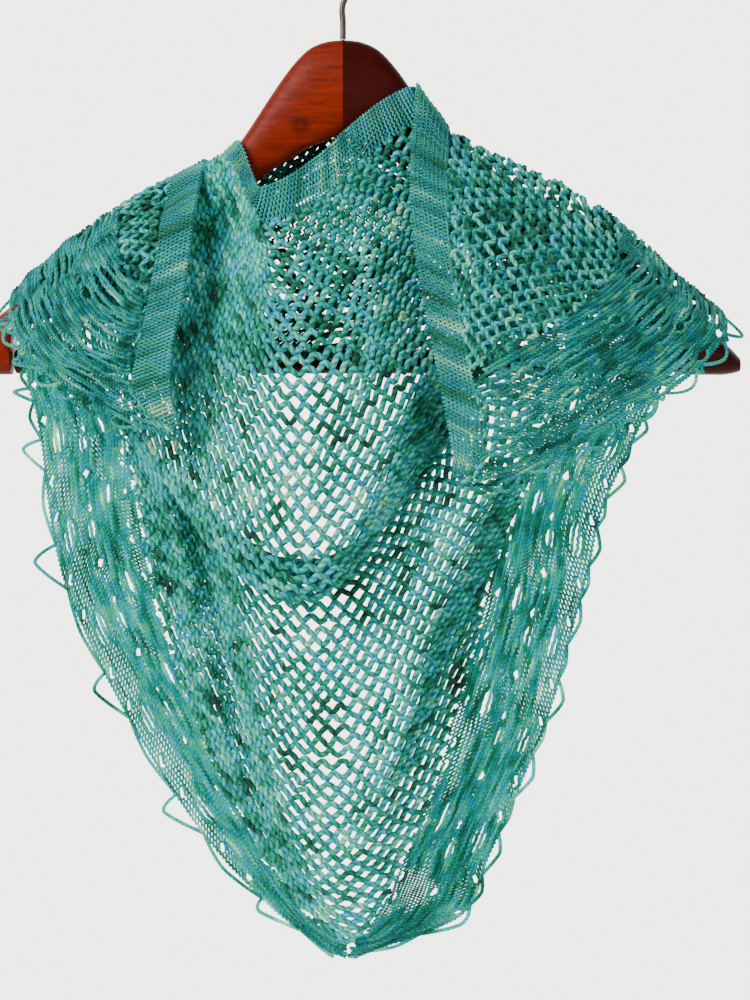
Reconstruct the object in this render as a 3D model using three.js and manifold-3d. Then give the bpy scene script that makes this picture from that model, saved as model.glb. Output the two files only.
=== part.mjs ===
// A hand-knitted lace shawl hanging kerchief-wise on a contoured wooden clothes hanger.
// Millimetres, +Z up, the front faces -Y. The origin is where a rail carries the hook.
import * as THREE from 'three';
import { mergeVertices } from 'three/addons/utils/BufferGeometryUtils.js';
import Module from 'manifold-3d';

const wasm = await Module();
wasm.setup();

// Driving sizes of the cloth
const WALL = 1.8;
const SEAM = 1;
const BACK_SEAM = 2.4;
const BAND_WIDTH = 22;
const WING_LACE_WIDTH = 74;
const BACK_LACE_START = 0.58;
const LOOP_YARN = 2.2;
const LOOP_SIDES = 4;
const LOOP_STEPS = 5;
const LOOP_ROOT = 1.6;
const LOOP_DROOP = 2.5;
const LOOP_SHOULDER = 0.25;
const LOOP_SHOULDER_REACH = 0.62;
const LOOP_INSIDE = 0.8;
const INNER_LAYER = { ridge: 3.2, face: 5.5 };
const OUTER_LAYER = { ridge: 7.6, face: 10.5 };
const RIDGE_SEAM = 0.05;
const BELOW_ARM_EASE = 0.8;
const SAMPLE = 0.02;
const SAME_POINT = 1e-4;
const CURVE_TENSION = 0.5;
const YARN_ROUGHNESS = 0.9;

// Driving sizes of the hanger
const WIRE = 3.5;
const WIRE_SIDES = 8;
const HOOK_INNER_RADIUS = 18;
const HOOK_CENTRE_Z = -HOOK_INNER_RADIUS;
const HOOK_STEPS = 28;
const HOOK_FROM_DEGREES = -20;
const HOOK_TO_DEGREES = 215;
const HOOK_BOW_POINTS = 16;
const STEM_STRAIGHT = 20;
const STEM_BEND_X = 7;
const STEM_BEND_RISE = 32;
const HEAD_TOP = -75;
const MITRE_GAP = 0.3;
const BAR_RADIUS = 7;
const BAR_SIDES = 10;
const BAR_REACH = 186.6;
const BAR_Z = -251.5;
const ARM_SIDES = 12;
const ARM_SQUARENESS = 0.85;
const VARNISH_ROUGHNESS = 0.3;
const STEEL_ROUGHNESS = 0.4;
const STEEL_METALNESS = 0.9;

// Each row is one section of a hanger arm, from the head out to the tip:
// reach along X, height of the top and the bottom, middle in Y and half thickness
const ARM_SECTIONS = [
  { reach: 0, top: -75, bottom: -127, middle: 0, half: 8 },
  { reach: 10, top: -76, bottom: -131, middle: 0.8, half: 8 },
  { reach: 20, top: -80.5, bottom: -135, middle: 1.7, half: 8 },
  { reach: 30, top: -91, bottom: -141, middle: 2.9, half: 8 },
  { reach: 40, top: -105, bottom: -147, middle: 4.2, half: 8 },
  { reach: 60, top: -134, bottom: -160, middle: 7.1, half: 8.5 },
  { reach: 77, top: -148, bottom: -171, middle: 9.9, half: 9 },
  { reach: 100, top: -159, bottom: -183, middle: 13.9, half: 9.5 },
  { reach: 125, top: -172, bottom: -196, middle: 18.5, half: 10.5 },
  { reach: 150, top: -189, bottom: -211, middle: 23.5, half: 11.5 },
  { reach: 187, top: -219, bottom: -238, middle: 31.3, half: 12.5 },
  { reach: 188.5, top: -220, bottom: -259, middle: 31.6, half: 12.5 },
  { reach: 215, top: -239, bottom: -259, middle: 37.5, half: 12 },
  { reach: 226, top: -249, bottom: -257, middle: 40, half: 7 },
];

const point = (x, y, z) => new THREE.Vector3(x, y, z);

// Linear value of one column of the arm table at a given reach
function armValue(reach, column) {
  const distance = Math.min(Math.abs(reach), ARM_SECTIONS.at(-1).reach);
  const next = Math.max(1, ARM_SECTIONS.findIndex((row) => row.reach >= distance));
  const before = ARM_SECTIONS[next - 1];
  const after = ARM_SECTIONS[next];
  const share = (distance - before.reach) / (after.reach - before.reach);
  return THREE.MathUtils.lerp(before[column], after[column], share);
}

// How far a layer stands up from the ridge, at a share of the way across its stretch
const PUFF_TURN = 0.75;
const puffed = (puff, share) => puff * Math.sin(PUFF_TURN * Math.PI * share);

// A point on the ridge of an arm, with cloth lying the given height above the wood
const onArm = (x, layer = INNER_LAYER, puff = 0) =>
  point(x, armValue(x, 'middle'), armValue(x, 'top') + layer.ridge + puff);

// Keeps a sheet clear of the wood: side is -1 in front of the arms and 1 behind them
function clearOfArm(p, layer, side) {
  const half = armValue(p.x, 'half');
  const round = armValue(p.x, 'top') - half;
  const lift = Math.max(0, (p.z - round) / (half + layer.ridge));
  const beyond = Math.abs(p.x) > ARM_SECTIONS.at(-1).reach;
  if (lift >= 1 || beyond) return p;
  const below = Math.max(0, armValue(p.x, 'bottom') - p.z);
  const reach = (half + layer.face) * Math.sqrt(1 - lift * lift) - below * BELOW_ARM_EASE;
  const face = armValue(p.x, 'middle') + side * reach;
  const y = side < 0 ? Math.min(p.y, face) : Math.max(p.y, face);
  return point(p.x, y, p.z);
}

// Smooth point through the rows 0 to last at a fractional row number
function alongRows(last, v, rowPoint) {
  const i = Math.min(Math.floor(v), last - 1);
  const points = [i - 1, i, i + 1, i + 2].map((k) => rowPoint(THREE.MathUtils.clamp(k, 0, last)));
  const curve = new THREE.CatmullRomCurve3(points, false, 'catmullrom', CURVE_TENSION);
  return curve.getPoint((1 + v - i) / 3);
}

// Straight-line value through a column of a table at a fractional row number
function columnAt(rows, v, read) {
  const i = Math.min(Math.floor(v), rows.length - 2);
  return THREE.MathUtils.lerp(read(rows[i]), read(rows[i + 1]), v - i);
}

// The front panel, one row for each course of mesh followed across it, neckline first.
// left and right are its ends, low its hanging point, reachLeft and reachRight how far
// the swag spreads from there, borderLeft and borderRight where the leaf border begins.
const FRONT = [
  { left: onArm(-60), right: onArm(40), low: point(-44, -15, -159), borderLeft: -60, borderRight: 40 },
  { left: onArm(-76), right: onArm(62), low: point(-37, -24, -197), borderLeft: -76, borderRight: 62 },
  { left: onArm(-101), right: onArm(87), low: point(-29, -36, -236), borderLeft: -101, borderRight: 87 },
  { left: onArm(-129), right: onArm(114), low: point(-25, -46, -277), borderLeft: -127, borderRight: 112 },
  { left: onArm(-154), right: onArm(142), low: point(-22, -54, -314), borderLeft: -126, borderRight: 124 },
  { left: onArm(-176), right: onArm(170), low: point(-21, -59, -354), borderLeft: -124, borderRight: 125,
    reachRight: 150 },
  { left: point(-183, 11, -234), right: point(193, 12, -228), low: point(-21, -57, -378),
    borderLeft: -122, borderRight: 124, reachRight: 128 },
  { left: point(-180, 8, -245), right: point(197, 8, -240), low: point(-21, -50, -384),
    borderLeft: -121, borderRight: 123, reachRight: 120 },
  { left: point(-177, 5, -256), right: point(190, 4, -251), low: point(-20, -42, -373),
    borderLeft: -121, borderRight: 120, reachRight: 125 },
  { left: point(-175, 3, -267), right: point(179, -1, -264), low: point(-19, -35, -364),
    borderLeft: -119, borderRight: 115, reachRight: 135 },
  { left: point(-171, 1, -280), right: point(167, -6, -284), low: point(-18, -31, -381),
    borderLeft: -117, borderRight: 108 },
  { left: point(-167, -1, -301), right: point(155, -12, -308), low: point(-15, -31, -413),
    borderLeft: -113, borderRight: 96 },
  { left: point(-163, -3, -333), right: point(142, -16, -337), low: point(-12, -33, -444),
    borderLeft: -106, borderRight: 82 },
  { left: point(-155, -5, -372), right: point(134, -18, -371), low: point(-9, -35, -473),
    borderLeft: -96, borderRight: 72 },
  { left: point(-138, -6, -413), right: point(123, -19, -410), low: point(-6, -34, -500),
    borderLeft: -82, borderRight: 60 },
  { left: point(-117, -6, -453), right: point(113, -17, -448), low: point(-4, -29, -525),
    borderLeft: -66, borderRight: 47 },
  { left: point(-94, -5, -491), right: point(98, -14, -485), low: point(-2, -24, -546),
    borderLeft: -46, borderRight: 33 },
  { left: point(-69, -5, -525), right: point(81, -11, -525), low: point(0, -18, -562),
    borderLeft: -24, borderRight: 19 },
  { left: point(-39, -5, -556), right: point(65, -9, -559), low: point(2, -12, -574),
    borderLeft: 1.5, borderRight: 2.5 },
  { left: point(-6, -6, -580), right: point(12, -6, -580), low: point(3, -6, -584),
    borderLeft: 2.5, borderRight: 3.5 },
];
const FRONT_LAST = FRONT.length - 1;
const FRONT_BAND_ROWS = 0.56;
const BAND_SEAM_ROWS = 0.03;
const FRONT_BORDER_START = 3;
const FRONT_BORDER_MEET = 17.95;

// The long soft folds of the front panel, each followed down from one row to another:
// x at either end, half width, and how far it stands forward (or back, if negative)
const FRONT_FOLDS = [
  { from: 4, to: 17, xTop: -128, xBottom: -22, width: 20, forward: -13 },
  { from: 6, to: 15, xTop: -158, xBottom: -84, width: 20, forward: 7 },
  { from: 9, to: 16, xTop: 72, xBottom: 2, width: 24, forward: 11 },
  { from: 8, to: 17, xTop: 112, xBottom: 44, width: 17, forward: -10 },
  { from: 9, to: 17, xTop: 150, xBottom: 84, width: 18, forward: 6 },
  { from: 10, to: 16, xTop: -62, xBottom: -20, width: 20, forward: 8 },
  { from: 1, to: 8, xTop: 8, xBottom: 62, width: 20, forward: 9 },
  { from: 1, to: 7, xTop: -46, xBottom: -84, width: 16, forward: 7 },
];

// Swell of a fold across its width, full on its line and nothing at its edge
const swell = (distance, width) =>
  Math.abs(distance) < width ? Math.cos((Math.PI / 2) * (distance / width)) ** 2 : 0;

function foldDepth(x, v) {
  return FRONT_FOLDS.reduce((sum, fold) => {
    const share = (v - fold.from) / (fold.to - fold.from);
    if (share <= 0 || share >= 1) return sum;
    const line = THREE.MathUtils.lerp(fold.xTop, fold.xBottom, share);
    return sum - fold.forward * Math.sin(Math.PI * share) * swell(x - line, fold.width);
  }, 0);
}

function frontPoint(u, v) {
  const left = alongRows(FRONT_LAST, v, (k) => FRONT[k].left);
  const right = alongRows(FRONT_LAST, v, (k) => FRONT[k].right);
  const low = alongRows(FRONT_LAST, v, (k) => FRONT[k].low);
  const reachLeft = columnAt(FRONT, v, (row) => row.reachLeft ?? row.low.x - row.left.x);
  const reachRight = columnAt(FRONT, v, (row) => row.reachRight ?? row.right.x - row.low.x);
  const chord = left.clone().lerp(right, u);
  const chordAtLow = left.clone().lerp(right, (low.x - left.x) / (right.x - left.x));
  const spread = chord.x < low.x ? reachLeft : reachRight;
  const drop = swell(chord.x - low.x, spread);
  const y = chord.y + (low.y - chordAtLow.y) * drop + foldDepth(chord.x, v);
  const z = chord.z + (low.z - chordAtLow.z) * drop;
  return clearOfArm(point(chord.x, y, z), INNER_LAYER, -1);
}

// Share of the way across the front panel at which its mesh gives way to a border
function frontBorder(v, column) {
  const left = columnAt(FRONT, v, (row) => row.left.x);
  const right = columnAt(FRONT, v, (row) => row.right.x);
  return (columnAt(FRONT, v, (row) => row[column]) - left) / (right - left);
}
const frontGap = (v) => SEAM / columnAt(FRONT, v, (row) => row.right.x - row.left.x);

// The two wings, one row for each section from the ridge of the arm to the point of the
// shawl: band is the long edge of the shawl, lace its bordered edge, belly how far the
// cloth stands forward between them. The first row lies on the arm, between two reaches.
const WING_LEFT = {
  band: -77, lace: -188, puff: 0,
  rows: [
    { band: point(-80, -26, -172), lace: point(-184, -3, -232), belly: 4 },
    { band: point(-85, -38, -217), lace: point(-168, -18, -256), belly: 6 },
    { band: point(-91, -46, -250), lace: point(-144, -32, -272), belly: 5 },
    { band: point(-91, -51, -276), lace: point(-118, -44, -287), belly: 2 },
    { band: point(-86, -53, -291), lace: point(-94, -52, -296), belly: 0 },
  ],
};
const WING_RIGHT = {
  band: 41, lace: 216, puff: 13,
  rows: [
    { band: point(37, -28, -146), lace: point(212, -2, -238), belly: 6 },
    { band: point(38, -43, -188), lace: point(189, -24, -263), belly: 9 },
    { band: point(44, -58, -229), lace: point(155, -42, -284), belly: 8 },
    { band: point(52, -66, -269), lace: point(119, -57, -305), belly: 5 },
    { band: point(58, -70, -303), lace: point(86, -67, -321), belly: 2 },
    { band: point(59, -71, -318), lace: point(65, -71, -325), belly: 0 },
  ],
};
const WING_FOLD_COUNT = 2.5;
const WING_FOLD_DEPTH = 3.2;
const WIDEST_WING_BAND = 0.5;

function wingRow(wing, k, s) {
  if (k === 0) return onArm(THREE.MathUtils.lerp(wing.band, wing.lace, s), OUTER_LAYER, puffed(wing.puff, s));
  const row = wing.rows[k - 1];
  const p = row.band.clone().lerp(row.lace, s);
  p.y -= row.belly * Math.sin(Math.PI * s);
  return p;
}

function wingPoint(wing, s, v) {
  const p = alongRows(wing.rows.length, v, (k) => wingRow(wing, k, s));
  const hang = Math.sin((Math.PI * v) / wing.rows.length);
  p.y += WING_FOLD_DEPTH * hang * Math.sin(2 * Math.PI * WING_FOLD_COUNT * s) * s;
  return clearOfArm(p, OUTER_LAYER, -1);
}

const wingWidth = (wing, v) => wingPoint(wing, 0, v).distanceTo(wingPoint(wing, 1, v));
const wingBand = (wing, v) => Math.min(BAND_WIDTH / wingWidth(wing, v), WIDEST_WING_BAND);
function wingLace(wing, v) {
  const width = wingWidth(wing, v);
  return Math.max(wingBand(wing, v) + (2 * SEAM) / width, 1 - WING_LACE_WIDTH / width);
}

// The two stretches that cross behind the neck, one row for each section from the left
// arm to the right arm. Each starts under one wing and ends as the other, so the layer
// that it lies in over either arm is named, and at the middle one runs above the other.
const BACK_UPPER = {
  start: { band: -77, lace: -188, layer: OUTER_LAYER, puff: 0 },
  rows: [
    { band: point(-60, 26, -138), lace: point(-152, 44, -226) },
    { band: point(-32, 22, -112), lace: point(-66, 34, -192) },
    { band: point(0, 18, -98), lace: point(0, 22, -163.5) },
    { band: point(21, 17, -100), lace: point(66, 22, -184) },
    { band: point(36, 16, -109), lace: point(152, 35, -216) },
  ],
  end: { band: 42, lace: 196, layer: INNER_LAYER, puff: 0 },
};
const BACK_LOWER = {
  start: { band: -62, lace: -184, layer: INNER_LAYER, puff: 0 },
  rows: [
    { band: point(-60, 17, -152), lace: point(-140, 35, -226) },
    { band: point(-34, 17, -164), lace: point(-70, 20, -250) },
    { band: point(0, 19, -166), lace: point(0, 15, -250) },
    { band: point(35, 31, -158), lace: point(78, 37, -238) },
    { band: point(44, 27, -119), lace: point(168, 49, -230) },
  ],
  end: { band: 41, lace: 216, layer: OUTER_LAYER, puff: 13 },
};
const LAYER_SWAP_FROM = 2.4;
const LAYER_SWAP_TO = 3.6;
const GATHER_COUNT = 3;
const GATHER_DEPTH = 2.2;
const GATHER_REACH = 70;
const WIDEST_BACK_BAND = 0.3;

function backRow(back, k, s) {
  const side = k === 0 ? back.start : back.end;
  if (k === 0 || k > back.rows.length) {
    return onArm(THREE.MathUtils.lerp(side.band, side.lace, s), side.layer, puffed(side.puff, s));
  }
  return back.rows[k - 1].band.clone().lerp(back.rows[k - 1].lace, s);
}

function backPoint(back, s, v) {
  const p = alongRows(back.rows.length + 1, v, (k) => backRow(back, k, s));
  const gather = swell(p.x, GATHER_REACH) * (1 - Math.cos(2 * Math.PI * GATHER_COUNT * s));
  p.y += GATHER_DEPTH * gather;
  const passed = THREE.MathUtils.smoothstep(v, LAYER_SWAP_FROM, LAYER_SWAP_TO);
  const layer = {
    ridge: THREE.MathUtils.lerp(back.start.layer.ridge, back.end.layer.ridge, passed),
    face: THREE.MathUtils.lerp(back.start.layer.face, back.end.layer.face, passed),
  };
  return clearOfArm(p, layer, 1);
}

const backWidth = (back, v) => backPoint(back, 0, v).distanceTo(backPoint(back, 1, v));
const backBand = (back, v) => Math.min(BAND_WIDTH / backWidth(back, v), WIDEST_BACK_BAND);

const spread = (from, to, count) =>
  Array.from({ length: count + 1 }, (_, i) => THREE.MathUtils.lerp(from, to, i / count));

// Unit normal of a stretch of cloth, from its two directions
function normalAt(surface, u, v, rows) {
  const [u0, u1] = [Math.max(0, u - SAMPLE), Math.min(1, u + SAMPLE)];
  const [v0, v1] = [Math.max(0, v - SAMPLE), Math.min(rows, v + SAMPLE)];
  const across = surface(u1, v).sub(surface(u0, v));
  const along = surface(u, v1).sub(surface(u, v0));
  return across.cross(along).normalize();
}

function signedVolume(vertices, faces) {
  return faces.reduce((sum, [a, b, c]) => {
    return sum + vertices[a].dot(vertices[b].clone().cross(vertices[c])) / 6;
  }, 0);
}

// A closed wall of cloth on a piece of a stretch: two skins, joined round the edge and
// round each opening. across turns a share of the piece into a share of the stretch.
function clothWall(stretch, across, sLines, vLines, isOpen = () => false) {
  const columns = sLines.length;
  const rows = vLines.length;
  const vertices = [];
  for (const offset of [WALL / 2, -WALL / 2]) {
    for (const v of vLines) {
      for (const s of sLines) {
        const u = across(s, v);
        const normal = normalAt(stretch.at, u, v, stretch.rows);
        vertices.push(stretch.at(u, v).addScaledVector(normal, offset));
      }
    }
  }
  const skin = columns * rows;
  const at = (i, j) => j * columns + i;
  const solidCell = (i, j) =>
    i >= 0 && j >= 0 && i < columns - 1 && j < rows - 1 && !isOpen(i, j);
  const faces = [];
  const quad = (a, b, c, d) => faces.push([a, b, c], [a, c, d]);
  const edge = (a, b) => quad(a, a + skin, b + skin, b);
  for (let j = 0; j < rows - 1; j += 1) {
    for (let i = 0; i < columns - 1; i += 1) {
      if (!solidCell(i, j)) continue;
      const [a, b, c, d] = [at(i, j), at(i + 1, j), at(i + 1, j + 1), at(i, j + 1)];
      quad(a, b, c, d);
      quad(d + skin, c + skin, b + skin, a + skin);
      if (!solidCell(i, j - 1)) edge(a, b);
      if (!solidCell(i + 1, j)) edge(b, c);
      if (!solidCell(i, j + 1)) edge(c, d);
      if (!solidCell(i - 1, j)) edge(d, a);
    }
  }
  const outward = signedVolume(vertices, faces) > 0;
  const geometry = new THREE.BufferGeometry().setFromPoints(vertices);
  geometry.setIndex(faces.flatMap(([a, b, c]) => (outward ? [a, b, c] : [a, c, b])));
  return geometry;
}

function toSolid(geometry) {
  const bare = geometry.clone();
  bare.deleteAttribute('normal');
  bare.deleteAttribute('uv');
  const merged = mergeVertices(bare, SAME_POINT);
  return new wasm.Manifold(new wasm.Mesh({
    numProp: 3,
    vertProperties: new Float32Array(merged.attributes.position.array),
    triVerts: new Uint32Array(merged.index.array),
  }));
}

function fromSolid(solid) {
  const mesh = solid.getMesh();
  const geometry = new THREE.BufferGeometry();
  geometry.setAttribute('position', new THREE.BufferAttribute(mesh.vertProperties, mesh.numProp));
  geometry.setIndex(new THREE.BufferAttribute(mesh.triVerts, 1));
  return geometry;
}

// A rod along a path, closed at both ends
function rod(path, width, sides, steps) {
  const section = new THREE.Shape(spread(0, 1, sides).slice(0, sides).map((turn) => {
    const angle = 2 * Math.PI * turn + Math.PI / 4;
    return new THREE.Vector2(Math.cos(angle), Math.sin(angle)).multiplyScalar(width / 2);
  }));
  return new THREE.ExtrudeGeometry(section, { extrudePath: path, steps, bevelEnabled: false });
}

// Chain loops along the edge of a border, whose surface is given by share and row
function withLoops(wall, borderAt, starts, step, depth) {
  return fromSolid(starts.reduce((joined, v) => {
    const [from, middle, to] = [v, v + step / 2, v + step].map((row) => borderAt(1, row));
    const outward = middle.clone().sub(borderAt(LOOP_INSIDE, v + step / 2)).normalize();
    const reach = (base, share) => {
      const p = base.clone().addScaledVector(outward, depth * share);
      p.z -= LOOP_DROOP * Math.max(0, share);
      return p;
    };
    const root = -LOOP_ROOT / depth;
    const path = new THREE.CatmullRomCurve3([
      reach(from, root),
      reach(from.clone().lerp(middle, LOOP_SHOULDER), LOOP_SHOULDER_REACH),
      reach(middle, 1),
      reach(to.clone().lerp(middle, LOOP_SHOULDER), LOOP_SHOULDER_REACH),
      reach(to, root),
    ]);
    return joined.add(toSolid(rod(path, LOOP_YARN, LOOP_SIDES, LOOP_STEPS)));
  }, toSolid(wall)));
}

const YARN_TEAL = 0x3f8f84;
const YARN_SAGE = 0x6fae98;
const YARN_BLUE = 0x2f99a4;
const VARNISHED_BEECH = 0x6e2310;
const DARK_STEEL = 0x1c1a19;

const shawl = new THREE.Group();
const hanger = new THREE.Group();

function addPiece(group, name, geometry, finish) {
  geometry.computeVertexNormals();
  const material = new THREE.MeshStandardMaterial(finish);
  const mesh = new THREE.Mesh(geometry, material);
  mesh.name = name;
  group.add(mesh);
}
const addKnit = (name, geometry, color) =>
  addPiece(shawl, name, geometry, { color, roughness: YARN_ROUGHNESS });

// Ladder gaps of the leaf border, staggered from one column of the wall to the next: the
// column that each lies in, its first row, and how many rows on it comes again
const LEAF_LADDERS = [
  { column: 1, row: 1, repeat: 4 },
  { column: 3, row: 3, repeat: 4 },
  { column: 5, row: 1, repeat: 4 },
];
const BACK_LADDERS = [{ column: 2, row: 1, repeat: 3 }];
const isLadder = (ladders, i, j) =>
  ladders.some(({ column, row, repeat }) => i === column && j % repeat === row);

// Evenly spread lines, drawn together towards both ends
const END_CROWDING = 0.6;
const crowded = (share) => (1 - Math.cos(Math.PI * share)) / 2;
const endwise = (count) =>
  spread(0, 1, count).map((share) => THREE.MathUtils.lerp(share, crowded(share), END_CROWDING));

// Front panel: neckline band, mesh and a border down each side
const front = { at: frontPoint, rows: FRONT_LAST };
const FRONT_BAND_COLUMNS = 18;
const FRONT_MESH_COLUMNS = 16;
const FRONT_MESH_LINES = 33;
const FRONT_MESH_LAST = 17.5;
const BAND_COLUMNS = 2;
const frontBandLines = spread(0, FRONT_BAND_ROWS - BAND_SEAM_ROWS, BAND_COLUMNS);
addKnit('front_band', clothWall(front, (s) => s, endwise(FRONT_BAND_COLUMNS), frontBandLines), YARN_SAGE);

function frontMeshAcross(s, v) {
  const start = v < FRONT_BORDER_START ? 0 : frontBorder(v, 'borderLeft') + frontGap(v);
  const end = v < FRONT_BORDER_START ? 1 : frontBorder(v, 'borderRight') - frontGap(v);
  return THREE.MathUtils.lerp(start, end, s);
}
const frontMeshLines = [
  FRONT_BAND_ROWS + BAND_SEAM_ROWS,
  ...spread(1, FRONT_MESH_LAST, FRONT_MESH_LINES),
  FRONT_BORDER_MEET,
];
const frontMesh = clothWall(front, frontMeshAcross, endwise(FRONT_MESH_COLUMNS), frontMeshLines);
addKnit('front_mesh', frontMesh, YARN_TEAL);

const FRONT_LACE_COLUMNS = 7;
const FRONT_LACE_LINES = 32;
const FRONT_LOOPS_FROM = 6;
const FRONT_LOOPS_TO = 17.8;
const FRONT_LOOP_COUNT = 12;
const FRONT_LOOP_STEP = 0.62;
const FRONT_LOOP_DEPTH = 11;
const FRONT_OPEN_FROM = 5;
const FRONT_OPEN_TO = 28;
const frontLaceOpen = (i, j) => j > FRONT_OPEN_FROM && j < FRONT_OPEN_TO && isLadder(LEAF_LADDERS, i, j);
const frontLaceLines = spread(FRONT_BORDER_START, FRONT_LAST, FRONT_LACE_LINES);
const frontLaceAcross = {
  left: (s, v) => frontBorder(v, 'borderLeft') * (1 - s),
  right: (s, v) => THREE.MathUtils.lerp(frontBorder(v, 'borderRight'), 1, s),
};
for (const [side, across] of Object.entries(frontLaceAcross)) {
  const wall = clothWall(front, across, spread(0, 1, FRONT_LACE_COLUMNS), frontLaceLines, frontLaceOpen);
  const looped = withLoops(wall, (s, v) => frontPoint(across(s, v), v),
    spread(FRONT_LOOPS_FROM, FRONT_LOOPS_TO, FRONT_LOOP_COUNT), FRONT_LOOP_STEP, FRONT_LOOP_DEPTH);
  addKnit(`front_lace_${side}`, looped, YARN_BLUE);
}

// Wings: band, a tapering piece of mesh, and the border that ends in the shawl's point
const WING_STEPS = 3;
const WING_MESH_COLUMNS = 6;
const WING_LACE_COLUMNS = 7;
const WING_WHOLE_START = 3;
const WING_WHOLE_END = 6;
const WING_LOOP_COUNT = 6;
const WING_LOOPS_FROM = 0.4;
const WING_LOOPS_END = 1.3;
const WING_LOOP_STEP = 0.62;
const WING_LOOP_DEPTH = 12;
const MESH_END_WIDTH = 8;
const RIDGE_LINES = [RIDGE_SEAM, 0.14, 0.26, 0.42, 0.64];
for (const [side, wing] of [['left', WING_LEFT], ['right', WING_RIGHT]]) {
  const last = wing.rows.length;
  const stretch = { at: (s, v) => wingPoint(wing, s, v), rows: last };
  const lines = [...RIDGE_LINES, ...spread(1, last, (last - 1) * WING_STEPS)];
  const meshLines = lines.filter((v) => (wingLace(wing, v) - wingBand(wing, v)) * wingWidth(wing, v)
    > MESH_END_WIDTH);
  const gap = (v) => SEAM / wingWidth(wing, v);
  const band = (s, v) => s * (wingBand(wing, v) - gap(v));
  const mesh = (s, v) => THREE.MathUtils.lerp(wingBand(wing, v), wingLace(wing, v) - gap(v), s);
  const lace = (s, v) => THREE.MathUtils.lerp(wingLace(wing, v), 1, s);
  addKnit(`wing_${side}_band`, clothWall(stretch, band, spread(0, 1, BAND_COLUMNS), lines), YARN_SAGE);
  const meshWall = clothWall(stretch, mesh, spread(0, 1, WING_MESH_COLUMNS), meshLines);
  addKnit(`wing_${side}_mesh`, meshWall, YARN_TEAL);
  const whole = (j) => j <= WING_WHOLE_START || j >= lines.length - WING_WHOLE_END;
  const open = (i, j) => !whole(j) && isLadder(LEAF_LADDERS, i, j);
  const laceWall = clothWall(stretch, lace, spread(0, 1, WING_LACE_COLUMNS), lines, open);
  const looped = withLoops(laceWall, (s, v) => wingPoint(wing, lace(s, v), v),
    spread(WING_LOOPS_FROM, last - WING_LOOPS_END, WING_LOOP_COUNT), WING_LOOP_STEP, WING_LOOP_DEPTH);
  addKnit(`wing_${side}_lace`, looped, YARN_BLUE);
}

// Back: the two crossing stretches, each with its band on top and its border below
const BACK_STEPS = 4;
const BACK_COLUMNS = 4;
const BACK_WHOLE_START = 3;
const BACK_WHOLE_END = 5;
for (const [layer, back] of [['upper', BACK_UPPER], ['lower', BACK_LOWER]]) {
  const last = back.rows.length + 1;
  const stretch = { at: (s, v) => backPoint(back, s, v), rows: last };
  const lines = [...RIDGE_LINES, ...spread(1, last - 1, (last - 2) * BACK_STEPS),
    ...RIDGE_LINES.map((v) => last - v).reverse()];
  const gap = (v) => BACK_SEAM / backWidth(back, v);
  const band = (s, v) => s * (backBand(back, v) - gap(v));
  const mesh = (s, v) => THREE.MathUtils.lerp(backBand(back, v), BACK_LACE_START - gap(v), s);
  const lace = (s) => THREE.MathUtils.lerp(BACK_LACE_START, 1, s);
  const whole = (j) => j <= BACK_WHOLE_START || j >= lines.length - BACK_WHOLE_END;
  const open = (i, j) => !whole(j) && isLadder(BACK_LADDERS, i, j);
  const columns = spread(0, 1, BACK_COLUMNS);
  addKnit(`back_${layer}_band`, clothWall(stretch, band, spread(0, 1, BAND_COLUMNS), lines), YARN_SAGE);
  addKnit(`back_${layer}_mesh`, clothWall(stretch, mesh, columns, lines), YARN_TEAL);
  addKnit(`back_${layer}_lace`, clothWall(stretch, lace, columns, lines, open), YARN_BLUE);
}

// Hanger: two bent arms that meet in a mitre, a trouser bar and a wire hook
const squared = (value) => Math.sign(value) * Math.abs(value) ** ARM_SQUARENESS;

function hangerArm(side) {
  const sections = ARM_SECTIONS.map((row, k) => {
    const x = side * Math.max(row.reach, k === 0 ? MITRE_GAP / 2 : 0);
    const middle = (row.top + row.bottom) / 2;
    const height = (row.top - row.bottom) / 2;
    return spread(0, 1, ARM_SIDES).slice(0, ARM_SIDES).map((turn) => {
      const angle = 2 * Math.PI * turn;
      const y = row.middle + row.half * squared(Math.cos(angle));
      return point(x, y, middle + height * squared(Math.sin(angle)));
    });
  });
  const vertices = sections.flat();
  const faces = [];
  sections.slice(1).forEach((_, k) => {
    for (let i = 0; i < ARM_SIDES; i += 1) {
      const [a, b] = [k * ARM_SIDES + i, k * ARM_SIDES + ((i + 1) % ARM_SIDES)];
      faces.push([a, b, b + ARM_SIDES], [a, b + ARM_SIDES, a + ARM_SIDES]);
    }
  });
  const tip = (sections.length - 1) * ARM_SIDES;
  for (let i = 1; i < ARM_SIDES - 1; i += 1) {
    faces.push([0, i + 1, i], [tip, tip + i, tip + i + 1]);
  }
  const outward = signedVolume(vertices, faces) > 0;
  const geometry = new THREE.BufferGeometry().setFromPoints(vertices);
  geometry.setIndex(faces.flatMap(([a, b, c]) => (outward ? [a, b, c] : [a, c, b])));
  return geometry;
}
const varnished = { color: VARNISHED_BEECH, roughness: VARNISH_ROUGHNESS };
addPiece(hanger, 'hanger_arm_left', hangerArm(-1), varnished);
addPiece(hanger, 'hanger_arm_right', hangerArm(1), varnished);

const bar = new THREE.CylinderGeometry(BAR_RADIUS, BAR_RADIUS, 2 * BAR_REACH, BAR_SIDES);
bar.rotateZ(Math.PI / 2);
bar.translate(0, armValue(BAR_REACH, 'middle'), BAR_Z);
addPiece(hanger, 'hanger_bar', bar, varnished);

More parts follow.
